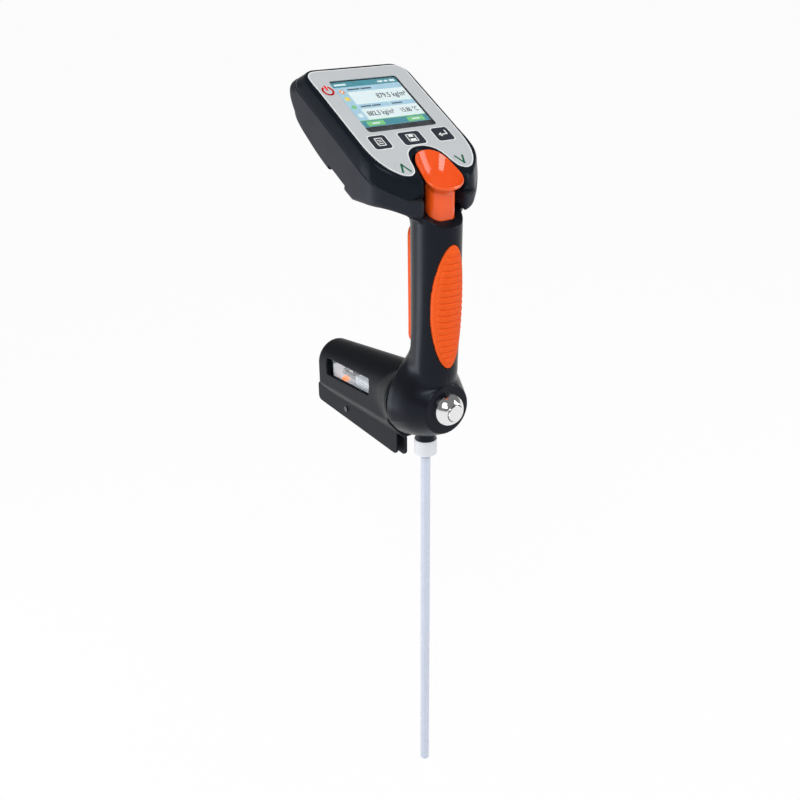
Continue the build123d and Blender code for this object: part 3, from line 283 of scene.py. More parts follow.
def palm_pad(x, y, z):
    """Palm pad: smooth rim, and bars that stop short of it."""
    skin = grip(x, y, z)
    bars = np.zeros(np.broadcast(x, z).shape)
    for k in range(PALM_BARS):
        middle = PALM_Z + (k - (PALM_BARS - 1) / 2) * PALM_PITCH
        reach = PALM_HALF_W * math.sqrt(1 - ((middle - PALM_Z) / PALM_HALF_H) ** 2) - 1.9
        past_end = np.maximum(np.abs(x) - max(reach - BAR_R, 0.0), 0)
        off = np.hypot(past_end, z - middle) - BAR_R
        bars = np.maximum(bars, np.clip(0.5 - off / 0.6, 0, 1))
    top = skin - 0.75 - 0.65 * bars * bars * (3 - 2 * bars)
    return share(meet(palm_area(x, z, PAD_EDGE), top, 0.7), -skin - PAD_SEAT, y + 2)


def finger_pad(x, y, z):
    """Finger pad: rounded cushion with shallow bars, open round the upper screw."""
    skin = grip(x, y, z)
    field = np.clip(-finger_area(x, z, -3.0), 0, 1)
    wave = 0.35 * np.cos(z * 2 * math.pi / FINGER_PITCH) * field
    pad = meet(finger_area(x, z, PAD_EDGE), skin - 3.6 - wave, 2.4)
    bore_y, bore_z = HANDLE_SCREWS[0]
    pad = meet(pad, -share(np.hypot(y - bore_y, z - bore_z) - 3.3, -x), 0.8)
    return share(pad, -skin - PAD_SEAT, 2 - y)


orange_rubber = moulding("orange_rubber", (0.78, 0.088, 0.008), (0.86, 0.108, 0.012),
                         (0.46, 0.56), 3000.0, 0.10, 0.15)
palm = cast("palm_pad_ribbed", palm_pad, (-13.0, -22.0, -47.0), (13.0, -5.0, 42.0), 0.3)
settle(palm, "meter", orange_rubber, "palm_pad", slot="pad")
finger = cast("finger_pad_ribbed", finger_pad, (-11.5, 4.0, -36.5), (11.5, 23.5, 48.5), 0.4)
settle(finger, "meter", orange_rubber, "finger_pad", slot="pad")


# Pump: a white moulded barrel with its piston, turned rod and wound return spring, shut inside
# the grip. The spring stands on the cap of the barrel.
def dress(material, *names):
    """Gives the material to parts that keep their own shape."""
    for name in names:
        nodes[name].data.materials.clear()
        nodes[name].data.materials.append(material)


def metal(name, tone, rough, grain, stretch):
    """Machined or plated metal with fine tool marks and small changes in gloss."""
    mat, tree, shader = blank(name)
    shader["Base Color"].default_value = (*tone, 1.0)
    shader["Metallic"].default_value = 1.0
    place = tree.nodes.new("ShaderNodeTexCoord").outputs["Object"]
    turn = tree.nodes.new("ShaderNodeMapping")
    turn.inputs["Scale"].default_value = stretch
    tree.links.new(place, turn.inputs["Vector"])
    marks = noise(tree, turn.outputs["Vector"], grain, 4.0)
    tree.links.new(vary(tree, marks, rough), shader["Roughness"])
    tree.links.new(emboss(tree, marks, 0.03, 0.0001), shader["Normal"])
    return mat


steel = metal("screw_steel", (0.62, 0.61, 0.58), (0.22, 0.38), 900.0, (1, 1, 8))
dress(steel, "pump_rod", "handle_screws", "neck_screws", "case_screws")
spring_coil = stand("pump_spring_coil", nodes["return_spring"].data.copy())
spring_coil.matrix_world = nodes["return_spring"].matrix_world
settle(spring_coil, "meter", steel, "return_spring", slot="steel")
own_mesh(spring_coil)
pump_plastic = moulding("pump_plastic", (0.66, 0.68, 0.70), (0.74, 0.76, 0.78), (0.35, 0.45),
                        1500.0, 0.03, 0.4)
dress(pump_plastic, "pump_barrel", "barrel_cap", "pump_piston")
seal_rubber = moulding("seal_rubber", (0.010, 0.010, 0.011), (0.018, 0.018, 0.019), (0.55, 0.70),
                       3500.0, 0.12, 0.3)
dress(seal_rubber, "piston_seal")

# Thumb lever: one glossy orange moulding that drives the pump. A thin egg-shaped lip runs round
# a smooth thumb hollow, and its underside flows down into a rounded square column.
LIP_FRONT, LIP_REAR, LIP_Z, LIP_SLOPE = -16.8, 12.6, 75.2, 0.645
LIP_THICK, LIP_DEEP, HOLLOW_DEPTH, UNDER_TAPER = 0.7, 1.6, 10.0, 0.8
COLUMN_LOW = 32.0


def round_off(corners, count):
    """Closed smooth line through the corners."""
    ring = np.array(corners, float)
    ring = np.vstack([ring[-3:], ring, ring[:3]])
    run = np.concatenate([[0], np.cumsum(np.hypot(*np.diff(ring, axis=0).T))])
    at = np.linspace(run[3], run[-3], count, endpoint=False)
    return np.column_stack([flow(at, run, ring[:, k]) for k in (0, 1)])


def fence(x, y, points):
    """Distance from a closed outline."""
    shape = np.broadcast(x, y).shape
    best, inside = np.full(shape, 1e9), np.zeros(shape, bool)
    for (ax, ay), (bx, by) in zip(points, np.roll(points, -1, axis=0)):
        ex, ey = bx - ax, by - ay
        t = np.clip(((x - ax) * ex + (y - ay) * ey) / (ex * ex + ey * ey + 1e-12), 0, 1)
        best = np.minimum(best, (x - ax - t * ex) ** 2 + (y - ay - t * ey) ** 2)
        if ay != by:
            inside ^= ((ay > y) != (by > y)) & (x < ex * (y - ay) / (by - ay) + ax)
    return np.where(inside, -1, 1) * np.sqrt(best)


lip_side = [(8.5, -15.0), (12.6, -12.0), (13.9, -9.0), (13.8, -5.0), (12.9, 0.0), (11.9, 5.0),
            (8.6, 9.9)]
lip_other = [(-x, y) for x, y in reversed(lip_side)]
lip = round_off([(0, LIP_FRONT)] + lip_side + [(0, LIP_REAR)] + lip_other, 160)


def lever(x, y, z):
    """Thumb lever: hollow, lip, tapered underside and column."""
    edge = fence(x, y, lip)
    rim = LIP_Z + (y - LIP_FRONT) * LIP_SLOPE
    inward = np.clip((-edge - LIP_THICK) / HOLLOW_DEPTH, 0, 1)
    hollow = HOLLOW_DEPTH * (1 - (1 - inward) ** 2)
    outside = (edge + UNDER_TAPER * np.maximum(rim - z - LIP_DEEP, 0)) * 0.75
    column = slab(x, y - COLUMN_Y, COLUMN_W, COLUMN_D, COLUMN_R)
    body = merge(outside, column, 1.0)
    return share(meet(body, (z - rim + hollow) * 0.66, 0.5), COLUMN_LOW - z)


orange_gloss = moulding("orange_gloss", (0.82, 0.088, 0.008), (0.88, 0.102, 0.012), (0.10, 0.15),
                        1800.0, 0.02, 0.5)
thumb_lever = cast("thumb_lever", lever, (-15.5, -18.5, 30.5), (15.5, 15.5, 97.0), 0.38)
settle(thumb_lever, "pump", orange_gloss, "pump_lever", slot="lever")

# Head case: the lower half of the head, a matt black moulding with drafted sides, round lower
# edges and a slot between two lobes for the lever. Four screws hold it to the cover from below.
TILT = math.radians(29)
SCREEN_Y, SCREEN_Z = 59.3, 118.0
PLAN_LOW, PLAN_HIGH, PLAN_STEP = -40, 150, 0.25
SLOT_Y, SLOT_R, SLOT_SPREAD = 3.5, 12.6, 0.262
CASE_LOW, CASE_TOP, COVER_LOW = -38.0, -11.55, -11.2
CASE_SCREWS = ((33.0, 28.0), (33.2, -49.0))
front_side = np.array([
    (0, -10), (10, -10), (18.5, -10), (25, -7.2), (29.7, -3.2), (34.6, 1.4), (38.4, 6),
    (41.1, 11.5), (42.1, 18), (42.1, 30), (42.1, 60), (42.1, 100), (42.1, 150)], float)
front_run = np.concatenate([[0], np.cumsum(np.hypot(*np.diff(front_side, axis=0).T))])
front_at = np.concatenate([np.linspace(0, front_run[9], 70), front_run[10:]])
front_line = np.column_stack([flow(front_at, front_run, front_side[:, k]) for k in (0, 1)])
head_plan = np.vstack([front_line, (front_line * (-1, 1))[::-1][:-1]])


def off_panel(w, n):
    """Depth and height, in the frame of the whole meter, of points up and out of the panel."""
    y = SCREEN_Y + w * math.cos(TILT) - n * math.sin(TILT)
    return y, SCREEN_Z + w * math.sin(TILT) + n * math.cos(TILT)


def on_head(points):
    """Turns points across, up and out of the panel into the frame of the whole meter."""
    u, w, n = points.T
    return np.column_stack([u, *off_panel(w, n)])


def head_walls(u, w, n, inset, depths):
    """Sides, front lobes with the lever slot, and the rounded rear of the head."""
    y = off_panel(w, n)[0]
    rows = np.arange(PLAN_LOW, PLAN_HIGH, PLAN_STEP)
    table = fence(u[:, :, 0], rows[None, :], head_plan)
    spot = np.clip((y - PLAN_LOW) / PLAN_STEP, 0, len(rows) - 2.001)
    k = spot.astype(int)[0]
    t = (spot - k)[0]
    plan = table[:, k] * (1 - t) + table[:, k + 1] * t + flow(n, depths, inset)
    mouth = (np.abs(u) - SLOT_R - (SLOT_Y - y) * SLOT_SPREAD) * 0.967
    slot = np.where(y > SLOT_Y, np.hypot(u, y - SLOT_Y) - SLOT_R, mouth)
    rear_n = [-39, -38, -37, -35, -29, -22, -16, -10, 0, 2]
    rear_w = [19.0, 22.5, 27.5, 35.0, 45.0, 51.2, 51.8, 47.0, 39.2, 38.0]
    lean = (flow(n + 0.2, rear_n, rear_w) - flow(n - 0.2, rear_n, rear_w)) / 0.4
    rear = (w - flow(n, rear_n, rear_w)) / np.sqrt(1 + lean ** 2)
    rear_round = flow(n, [CASE_LOW, -20, -10, 0], [10.0, 13.0, 12.5, 11.5])
    return meet(meet(plan, rear, rear_round), -slot, 1.5)


def head_case(u, w, n):
    """Lower half: walls, flat and sloped underside, pockets."""
    y, z = off_panel(w, n)
    body = head_walls(u, w, n, [2.4, 0.9, 0.0], [CASE_LOW, -24, -11.8])
    slope = (HEAD_LOW + (y - NOSE_Y) * NOSE_SLOPE - z) * 0.9
    under = share(merge(HEAD_LOW - z, slope, 3.0), CASE_LOW - n)
    body = meet(body, under, flow(y, [-10, 12, 34, 50], [5.2, 5.2, 4.0, 2.8]))
    body = meet(body, n - CASE_TOP, 0.25)
    body = cut(body, slab(u, w - 8, 58.4, 50.4, 2.2), n + 35.5)
    for bore_u, bore_w in CASE_SCREWS:
        body = cut(body, np.hypot(np.abs(u) - bore_u, w - bore_w) - 3.0, n + 22)
    return cut(body, slab(np.abs(u) - 42, w + 26.0, 24, 21, 1.0), n + 33.4)


def round_edges(piece, width, angle):
    """Rounds the edges of a piece that are sharper than the angle."""
    edge = piece.modifiers.new("edge", "BEVEL")
    edge.width = width / 1000
    edge.segments = 3
    edge.limit_method = "ANGLE"
    edge.angle_limit = math.radians(angle)
    edge.harden_normals = True


def soften(width, *names):
    """Rounds the sharp edges of parts that keep their own shape."""
    for name in names:
        faces = nodes[name].data.polygons
        faces.foreach_set("use_smooth", [True] * len(faces))
        round_edges(nodes[name], width, 35)


case_black = moulding("case_black", (0.0140, 0.0152, 0.0210), (0.0190, 0.0206, 0.0280),
                      (0.42, 0.52), 2400.0, 0.12, 0.18)
lower_head = cast("head_case_shell", head_case, (-44.0, -94.0, -46.0), (44.0, 56.0, -10.5), 0.5,
                  on_head)
settle(lower_head, "meter", case_black, "head_case", slot="case")
dress(case_black, "battery_door")
soften(0.3, "battery_door")

# Head cover: the upper half of the head, a glossy black frame round the panel with a rounded
# rim and a shallow bed for the panel. It closes on the case with a rubber seal in the joint.
PANEL_HALF, PANEL_TOP, PANEL_ROUND = 38.2, 36.6, 7
BED_N, COVER_WALL = -0.85, 2.6
panel_out = Vector((0, -math.sin(TILT), math.cos(TILT)))
panel_up = Vector((0, math.cos(TILT), math.sin(TILT)))
panel_middle = Vector((0, SCREEN_Y, SCREEN_Z)) / 1000


def face_lines(node):
    """Edge lines of the upper face of a panel part, across and up the panel, longest first."""
    mesh = bmesh.new()
    mesh.from_mesh(node.data)
    flat = [face for face in mesh.faces if face.normal.dot(panel_out) > 0.995]
    heights = [(face.calc_center_median() - panel_middle).dot(panel_out) for face in flat]
    flat = {face for face, height in zip(flat, heights) if height > max(heights) - 5e-5}
    links = {}
    for face in mesh.faces:
        for edge in face.edges if face in flat else ():
            if sum(other in flat for other in edge.link_faces) == 1:
                for here, there in (edge.verts, reversed(edge.verts)):
                    links.setdefault(here, []).append(there)
    lines = []
    while links:
        here = next(iter(links))
        line = []
        while here in links:
            line.append(here.co - panel_middle)
            onward = links.pop(here)
            here = next((spot for spot in onward if spot in links), None)
        lines.append(np.array([(spot.x, spot.dot(panel_up)) for spot in line]) * 1000)
    mesh.free()
    return sorted(lines, key=lambda line: -np.ptp(line[:, 0]))


overlay_lines = face_lines(nodes["panel_overlay"])
lobe = [(PANEL_HALF, -30.0), (37.9, -44.0), (36.7, -52.5), (34.3, -60.0), (30.4, -66.6),
        (26.0, -70.9), (21.2, -72.0), (17.3, -69.6), (15.2, -64.6), (13.6, -57.4), (10.8, -51.6),
        (6.4, -48.1)]
shoulder = [(PANEL_HALF - PANEL_ROUND + PANEL_ROUND * math.cos(a),
             PANEL_TOP - PANEL_ROUND + PANEL_ROUND * math.sin(a))
            for a in np.linspace(math.pi / 2, 0, 8)]
panel_side = [(0, PANEL_TOP), (16, PANEL_TOP)] + shoulder
panel_side += [(PANEL_HALF, 15.0), (PANEL_HALF, -8.0)] + lobe
panel_other = [(-u, w) for u, w in reversed(panel_side[1:])]
panel_edge = round_off(panel_side + [(0, -46.7)] + panel_other, 320)


def head_cover(u, w, n):
    """Upper half: rim, bed of the panel, and openings for the display and the keys."""
    walls = head_walls(u, w, n, [0.0, 0.45, 1.4, 1.9], [-11, -6, 0, 2])
    body = meet(meet(walls, n, 2.0), COVER_LOW - n, 0.25)
    body = cut(body, walls + COVER_WALL, n + COVER_WALL)
    body = cut(body, fence(u, w, panel_edge) - 0.12, BED_N - n)
    for line in overlay_lines[1:]:
        body = cut(body, fence(u, w, line) - 0.1)
    return body


def head_seal(u, w, n):
    """Rubber cord in the joint between case and cover, set just inside the walls."""
    walls = head_walls(u, w, n, [0.0, 0.0], [-12, -10]) + 0.35
    return share(walls, -walls - 3, np.abs(n - (CASE_TOP + COVER_LOW) / 2) - 0.6)


cover_gloss = moulding("cover_gloss", (0.0062, 0.0090, 0.0130), (0.0085, 0.0118, 0.0165),
                       (0.16, 0.22), 2000.0, 0.02, 0.07)
upper_head = cast("head_cover_shell", head_cover, (-44.0, -82.0, -12.0), (44.0, 56.0, 1.2), 0.4,
                  on_head)
settle(upper_head, "meter", cover_gloss, "head_cover", slot="case")
joint_seal = cast("head_joint_seal", head_seal, (-44.0, -86.0, -12.8), (44.0, 56.0, -10.0), 0.4,
                  on_head)
settle(joint_seal, "meter", seal_rubber, "case_gasket", slot="gasket")

# Board, switches and cells: a green circuit board with small black switches under the keys, and
# three plated cells behind it. All of it is shut inside the head.
board_green = moulding("board_green", (0.010, 0.085, 0.030), (0.016, 0.110, 0.042), (0.35, 0.50),
                       1200.0, 0.06, 0.4)
dress(board_green, "main_board")
dress(seal_rubber, "key_switches", "button_base")
cell_sleeve = moulding("cell_sleeve", (0.050, 0.052, 0.058), (0.090, 0.092, 0.098), (0.30, 0.40),
                       1500.0, 0.03, 0.5)
dress(cell_sleeve, "battery_cells")

# Panel: a light grey printed sheet bonded into the bed of the cover, with a pale line round its
# edge and holes for the display and the keys.
SHEET_THICK, PRINT_THICK, PRINT_N = 0.8, 0.03, 0.01
KEY_OVAL, KEY_GAP = np.array((5.1, 5.75)), 0.05


def thicken(mesh, by):
    """Raises the flat faces of a mesh into a closed body."""
    rise = bmesh.ops.extrude_face_region(mesh, geom=list(mesh.faces))
    lifted = [item for item in rise["geom"] if isinstance(item, bmesh.types.BMVert)]
    bmesh.ops.translate(mesh, verts=lifted, vec=by)
    bmesh.ops.recalc_face_normals(mesh, faces=mesh.faces)


def solid(name, mesh, smooth):
    """Piece from a closed mesh."""
    for face in mesh.faces:
        face.smooth = smooth
    data = bpy.data.meshes.new(name)
    mesh.to_mesh(data)
    mesh.free()
    return stand(name, data)


def flat_piece(name, outlines, n, body, material, slot):
    """Thin printed or lit figure on the panel, from outlines across and up it."""
    mesh = bmesh.new()
    for outline in outlines:
        spots = on_head(np.array([(u, w, n) for u, w in outline], float)) / 1000
        face = mesh.faces.new([mesh.verts.new(spot) for spot in spots])
        face.normal_update()
        if face.normal.dot(panel_out) < 0:
            face.normal_flip()
    bmesh.ops.triangulate(mesh, faces=mesh.faces)
    thicken(mesh, panel_out * PRINT_THICK / 1000)
    settle(solid(name, mesh, False), body, material, slot=slot)


def band(line, near, far):
    """Strip along a closed line, from one offset to another, as one quad for each step."""
    along = np.roll(line, -1, axis=0) - np.roll(line, 1, axis=0)
    along = along / np.linalg.norm(along, axis=1)[:, None]
    after = np.roll(line, -1, axis=0)
    turn = np.sum(line[:, 0] * after[:, 1] - after[:, 0] * line[:, 1])
    aside = np.column_stack([along[:, 1], -along[:, 0]]) * np.sign(turn)
    inner, outer = line + aside * near, line + aside * far
    return [(inner[k - 1], inner[k], outer[k], outer[k - 1]) for k in range(len(line))]


def widen(line, more):
    """Round outline brought to the oval of a printed key; any other outline stays."""
    middle = (line.max(axis=0) + line.min(axis=0)) / 2
    reach = np.linalg.norm(line - middle, axis=1)
    is_round = np.ptp(reach) < 0.3
    return middle + (line - middle) * (KEY_OVAL + more) / reach.mean() if is_round else line


panel_grey = moulding("panel_grey", (0.50, 0.52, 0.535), (0.545, 0.565, 0.58), (0.38, 0.46),
                      4000.0, 0.03, 0.35)
print_white = moulding("print_white", (0.80, 0.81, 0.82), (0.86, 0.87, 0.88), (0.40, 0.48),
                       4000.0, 0.02, 0.35)
sheet_mesh = bmesh.new()
for sheet_line in [panel_edge] + [widen(line, KEY_GAP) for line in overlay_lines[1:]]:
    sheet_low = np.column_stack([sheet_line, np.full(len(sheet_line), -SHEET_THICK)])
    sheet_verts = [sheet_mesh.verts.new(spot) for spot in on_head(sheet_low) / 1000]
    for k in range(len(sheet_verts)):
        sheet_mesh.edges.new((sheet_verts[k - 1], sheet_verts[k]))
bmesh.ops.triangle_fill(sheet_mesh, use_beauty=True, edges=list(sheet_mesh.edges))
thicken(sheet_mesh, panel_out * SHEET_THICK / 1000)
panel_sheet = solid("panel_sheet", sheet_mesh, False)
settle(panel_sheet, "meter", panel_grey, "panel_overlay", slot="panel")
flat_piece("panel_edge_line", band(panel_edge, -0.10, -0.75), PRINT_N, "meter", print_white,
           "panel")

# Display: a colour screen under a clear bonded lens, with a dark strip below the lit area. The
# screen shows a large reading, two smaller ones, a column of signs and two soft keys.
SCREEN_N, LAYER, TEXT_LAYER, GLOW = -1.40, 0.06, 0.14, 0.80
SCREEN_HALF, SCREEN_LOW, SCREEN_TOP = 25.6, -22.6, 24.3
SIGN_U = -22.0
display_dark = moulding("display_dark", (0.009, 0.012, 0.017), (0.012, 0.016, 0.022), (0.25, 0.32),
                        2500.0, 0.02, 0.1)
dress(display_dark, "display_module")


def lit(name, tone, strength):
    """Lit part, with the fine unevenness of its picture elements."""
    mat, tree, shader = blank(name)
    shader["Base Color"].default_value = (tone[0] * 0.15, tone[1] * 0.15, tone[2] * 0.15, 1.0)
    shader["Roughness"].default_value = 0.4
    shader["Emission Color"].default_value = (*tone, 1.0)
    place = tree.nodes.new("ShaderNodeTexCoord").outputs["Object"]
    elements = noise(tree, place, 4500.0, 1.0)
    glow = vary(tree, elements, (strength * 0.93, strength * 1.07))
    tree.links.new(glow, shader["Emission Strength"])
    return mat


def box(left, low, right, high):
    """Corners of an upright rectangle on the panel."""
    return [(left, low), (right, low), (right, high), (left, high)]


def dot(u, w, r):
    """Round spot as a many-sided outline."""
    turns = [k * math.pi / 12 for k in range(24)]
    return [(u + r * math.cos(a), w + r * math.sin(a)) for a in turns]


def figure(name, layer, material, *outlines):
    """Lit figure on one of the thin layers of the picture."""
    flat_piece(name, outlines, SCREEN_N + layer * LAYER, "meter", material, "display")


screen_pale = lit("screen_pale", (0.78, 0.90, 0.92), GLOW)
screen_teal = lit("screen_teal", (0.004, 0.235, 0.310), GLOW)
screen_blue = lit("screen_blue", (0.360, 0.610, 0.760), GLOW)
screen_green = lit("screen_green", (0.160, 0.560, 0.170), GLOW)
screen_ink = lit("screen_ink", (0.012, 0.020, 0.030), GLOW)
screen_orange = lit("screen_orange", (0.850, 0.250, 0.040), GLOW)
screen_yellow = lit("screen_yellow", (0.850, 0.650, 0.080), GLOW)
figure("screen_field", 0, screen_pale, box(-SCREEN_HALF, SCREEN_LOW, SCREEN_HALF, SCREEN_TOP))
figure("screen_bands", 1, screen_teal, box(-SCREEN_HALF, 18.6, SCREEN_HALF, SCREEN_TOP),
       box(-SCREEN_HALF, SCREEN_LOW, SCREEN_HALF, -16.4))
figure("screen_labels", 1, screen_blue, box(-SCREEN_HALF, -16.0, -18.4, 18.3),
       box(-18.2, 13.4, SCREEN_HALF, 18.3), box(-18.2, -4.4, 5.6, 0.2),
       box(6.0, -4.4, SCREEN_HALF, 0.2))
figure("screen_soft_keys", 2, screen_green, box(-SCREEN_HALF, -16.4, SCREEN_HALF, -15.8),
       box(-22.0, -21.8, -9.0, -17.4), box(9.0, -21.8, 22.0, -17.4))
figure("screen_words", 2, screen_ink, box(-16.8, 15.2, -7.5, 16.5), box(-6.6, 15.2, 1.5, 16.5),
       box(-16.8, -2.8, -9.0, -1.6), box(-8.2, -2.8, -1.5, -1.6), box(7.2, -2.8, 15.5, -1.6))
figure("screen_marks", 3, screen_pale, box(-24.0, 20.4, -15.0, 22.2), box(10.0, 20.4, 14.0, 22.2),
       box(15.2, 20.4, 18.0, 22.2), box(19.5, 20.2, 23.8, 22.5), box(-18.5, -20.2, -12.5, -19.0),
       box(12.5, -20.2, 18.5, -19.0))
figure("screen_signs_orange", 2, screen_orange, dot(SIGN_U, 14.0, 2.0))
figure("screen_signs_yellow", 2, screen_yellow, box(-23.8, 4.6, -20.2, 8.4))
figure("screen_signs_green", 2, screen_green, dot(SIGN_U, -2.0, 1.9))
figure("screen_signs_pale", 3, screen_pale, box(-23.6, -12.6, -20.4, -9.0), dot(SIGN_U, 14.0, 0.9))


def reading(name, text, right, low, height, wide, bold):
    """Number on the screen, set against its right end."""
    font = bpy.data.curves.new(name, "FONT")
    font.body = text
    font.align_x = "RIGHT"
    font.size = height / 1000
    font.offset = bold / 1000
    font.extrude = 0.00002
    words = stand(name + "_line", font)
    bpy.context.view_layer.update()
    built = words.evaluated_get(bpy.context.evaluated_depsgraph_get())
    data = bpy.data.meshes.new_from_object(built)
    bpy.data.objects.remove(words)
    data.name = name
    spots = np.array([spot.co for spot in data.vertices]) * 1000
    spots = spots * (wide, 1, 1) + (right, low, SCREEN_N + TEXT_LAYER)
    for spot, co in zip(data.vertices, on_head(spots) / 1000):
        spot.co = co
    settle(stand(name, data), "meter", screen_ink, slot="display")


reading("reading_density", "879.5 kg/m³", 24.0, 4.6, 6.8, 0.72, 0.10)
reading("reading_second", "882.3 kg/m³", 4.4, -12.0, 6.3, 0.68, 0.09)
reading("reading_heat", "15.86 °C", 23.2, -12.0, 6.0, 0.64, 0.09)


def clear(name, tone, rough, haze, bend):
    """Clear pane or glass with the faintest haze of wiping marks."""
    mat, tree, shader = blank(name)
    shader["Base Color"].default_value = (*tone, 1.0)
    shader["Transmission Weight"].default_value = 1.0
    shader["IOR"].default_value = bend
    place = tree.nodes.new("ShaderNodeTexCoord").outputs["Object"]
    wipes = noise(tree, place, 120.0, 4.0)
    tree.links.new(vary(tree, wipes, (rough, rough + haze)), shader["Roughness"])
    return mat


lens_clear = clear("lens_clear", (0.97, 0.98, 0.98), 0.02, 0.03, 1.22)
dress(lens_clear, "display_lens")

# Keys: three dark moulded caps with a pale ring and white signs, and three flush grey keys with
# printed oval faces, a red power sign and green arrows. Each slides in its opening over a
# switch.
DARK_KEYS = ("menu_key", "save_key", "enter_key")
FLUSH_KEYS = ("power_key", "up_key", "down_key")
CAP_N, FACE_N, SIGN_N = 0.32, 0.005, 0.05
THIN_LINE, BOLD_LINE, ARROW_W = 0.7, 1.4, -39.4
POWER_U, POWER_W, POWER_GAP = -31.8, 15.6, 0.62
key_dark = moulding("key_dark", (0.018, 0.022, 0.034), (0.024, 0.029, 0.042), (0.38, 0.48),
                    4000.0, 0.03, 0.4)
sign_red = moulding("sign_red", (0.84, 0.006, 0.008), (0.90, 0.010, 0.012), (0.40, 0.48),
                    4000.0, 0.02, 0.35)
sign_green = moulding("sign_green", (0.001, 0.115, 0.050), (0.002, 0.135, 0.060), (0.40, 0.48),
                      4000.0, 0.02, 0.35)
dress(key_dark, *DARK_KEYS)
dress(panel_grey, *FLUSH_KEYS)
soften(0.35, *DARK_KEYS)
for key_name in DARK_KEYS:
    key_ring = band(face_lines(nodes[key_name])[0], 0.35, 0.95)
    flat_piece(key_name + "_ring", key_ring, PRINT_N, "meter", print_white, "panel")
for key_name in FLUSH_KEYS:
    key_face = widen(face_lines(nodes[key_name])[0], 0.0)
    flat_piece(key_name + "_face", [key_face], FACE_N, key_name, panel_grey, "panel")


def stroke(points, width):
    """Line of a sign, as one four-sided step between each two points, with square joints."""
    steps = []
    for (au, aw), (bu, bw) in zip(points, points[1:]):
        run = math.hypot(bu - au, bw - aw)
        du, dw = (bu - au) / run * width / 2, (bw - aw) / run * width / 2
        steps.append([(au - du + dw, aw - dw - du), (bu + du + dw, bw + dw - du),
                      (bu + du - dw, bw + dw + du), (au - du - dw, aw - dw + du)])
    return steps


page = stroke([(-27.0, -42.3), (-27.0, -35.3), (-21.8, -35.3), (-21.8, -42.3), (-27.0, -42.3)],
              THIN_LINE)
for line_w in (-37.2, -38.8, -40.4):
    page += stroke([(-25.7, line_w), (-23.1, line_w)], 0.6)
flat_piece("menu_sign", page, CAP_N, "menu_key", print_white, "panel_key")
disk = stroke([(-3.3, -42.1), (-3.3, -35.5), (2.4, -35.5), (3.3, -36.4), (3.3, -42.1),
               (-3.3, -42.1)], THIN_LINE)
disk += [box(-1.7, -38.0, 1.7, -35.6), box(-2.1, -42.0, 2.1, -39.6)]
flat_piece("save_sign", disk, CAP_N, "save_key", print_white, "panel_key")
turn_arrow = stroke([(27.4, -35.8), (27.4, ARROW_W), (22.2, ARROW_W)], 0.9)
turn_arrow += [[(20.6, ARROW_W), (23.2, ARROW_W + 2), (23.2, ARROW_W - 2)]]
flat_piece("enter_sign", turn_arrow, CAP_N, "enter_key", print_white, "panel_key")
power_turn = np.linspace(POWER_GAP, 2 * math.pi - POWER_GAP, 29)
power = [(POWER_U + 3.4 * math.sin(a), POWER_W + 4.1 * math.cos(a)) for a in power_turn]
power = stroke(power, BOLD_LINE) + stroke([(POWER_U, 16.6), (POWER_U, 20.5)], BOLD_LINE)
flat_piece("power_sign", power, SIGN_N, "power_key", sign_red, "key")
up_arrow = stroke([(-25.2, -68.0), (-22.4, -61.2), (-19.6, -68.0)], BOLD_LINE)
flat_piece("up_sign", up_arrow, SIGN_N, "up_key", sign_green, "key")
down_arrow = stroke([(19.6, -61.0), (22.4, -67.8), (25.2, -61.0)], BOLD_LINE)
flat_piece("down_sign", down_arrow, SIGN_N, "down_key", sign_green, "key")

# Cell cover: a matt black moulding behind the ring. A collar narrows to a half-round hood with
# a window in each side, and two thin keel plates hang below it, held by one screw.
HOOD_START, HOOD_RUN, HOOD_LOW, RIDGE_HALF = 38, 93, -113.5, 4.6
COLLAR_Y, COLLAR_END = 18.1, 52
WINDOW_Y, WINDOW_Z, WINDOW_SLOPE = 85.4, -81.2, math.radians(4)
KEEL_THICK, KEEL_ROUND, KEEL_GAUGE = 1.8, 4.0, 2.2


def egg(x, z):
    """Distance from the axis of the collar, which is flatter above than below."""
    rise = z - BULB_Z
    return np.hypot(x, np.where(rise > 0, rise * 1.33, rise))


def cover_form(x, y, z):
    """Outside of the collar, funnel and hood."""
    along = np.clip((y - HOOD_START) / HOOD_RUN, -0.25, 1.0)
    half, top = 18.4 - 2.5 * along, -56.6 - 11.6 * along
    spring, low = -73.8 - 11.2 * along, -97.5 - 4.0 * along
    arch = oval(x, np.maximum(z - spring, 0), half, top - spring)
    pitch = (low - HOOD_LOW) / (half - RIDGE_HALF)
    under = (HOOD_LOW + np.maximum(np.abs(x) - RIDGE_HALF, 0) * pitch - z) * 0.76
    hood = meet(meet(arch, under, 1.6), y - HOOD_START - HOOD_RUN, 5.0)
    hood = share(hood, 30 - y)
    radius = flow(y, [COLLAR_Y, 21.1, 25, 30, 37, 50], [27.8, 27.6, 26.2, 23.8, 20.8, 17.4])
    funnel = meet((egg(x, z) - radius) * 0.84, COLLAR_Y - y, 0.6)
    funnel = share(funnel, y - COLLAR_END)
    return merge(hood, funnel, flow(z, [-104, -92, -70], [8.0, 6.0, 0.8]))


def cell_cover(x, y, z):
    """Cover with its hollow and its windows."""
    skin = cover_form(x, y, z)
    body = cut(skin, skin + 3.0, 22 - y)
    c, s = math.cos(WINDOW_SLOPE), math.sin(WINDOW_SLOPE)
    across = (y - WINDOW_Y) * c - (z - WINDOW_Z) * s
    height = (y - WINDOW_Y) * s + (z - WINDOW_Z) * c
    window = share(slab(across, height, 61.0, 12.8, 0.8), 8 - np.abs(x))
    return meet(body, -window, 0.4)


def ring_seal(x, y, z):
    """Rubber ring between the housing and the cover, set back from both."""
    reach = egg(x, z) * 0.9 - 24.0
    return share(reach, -reach - 4, np.abs(y - 16.8) - 1.7)


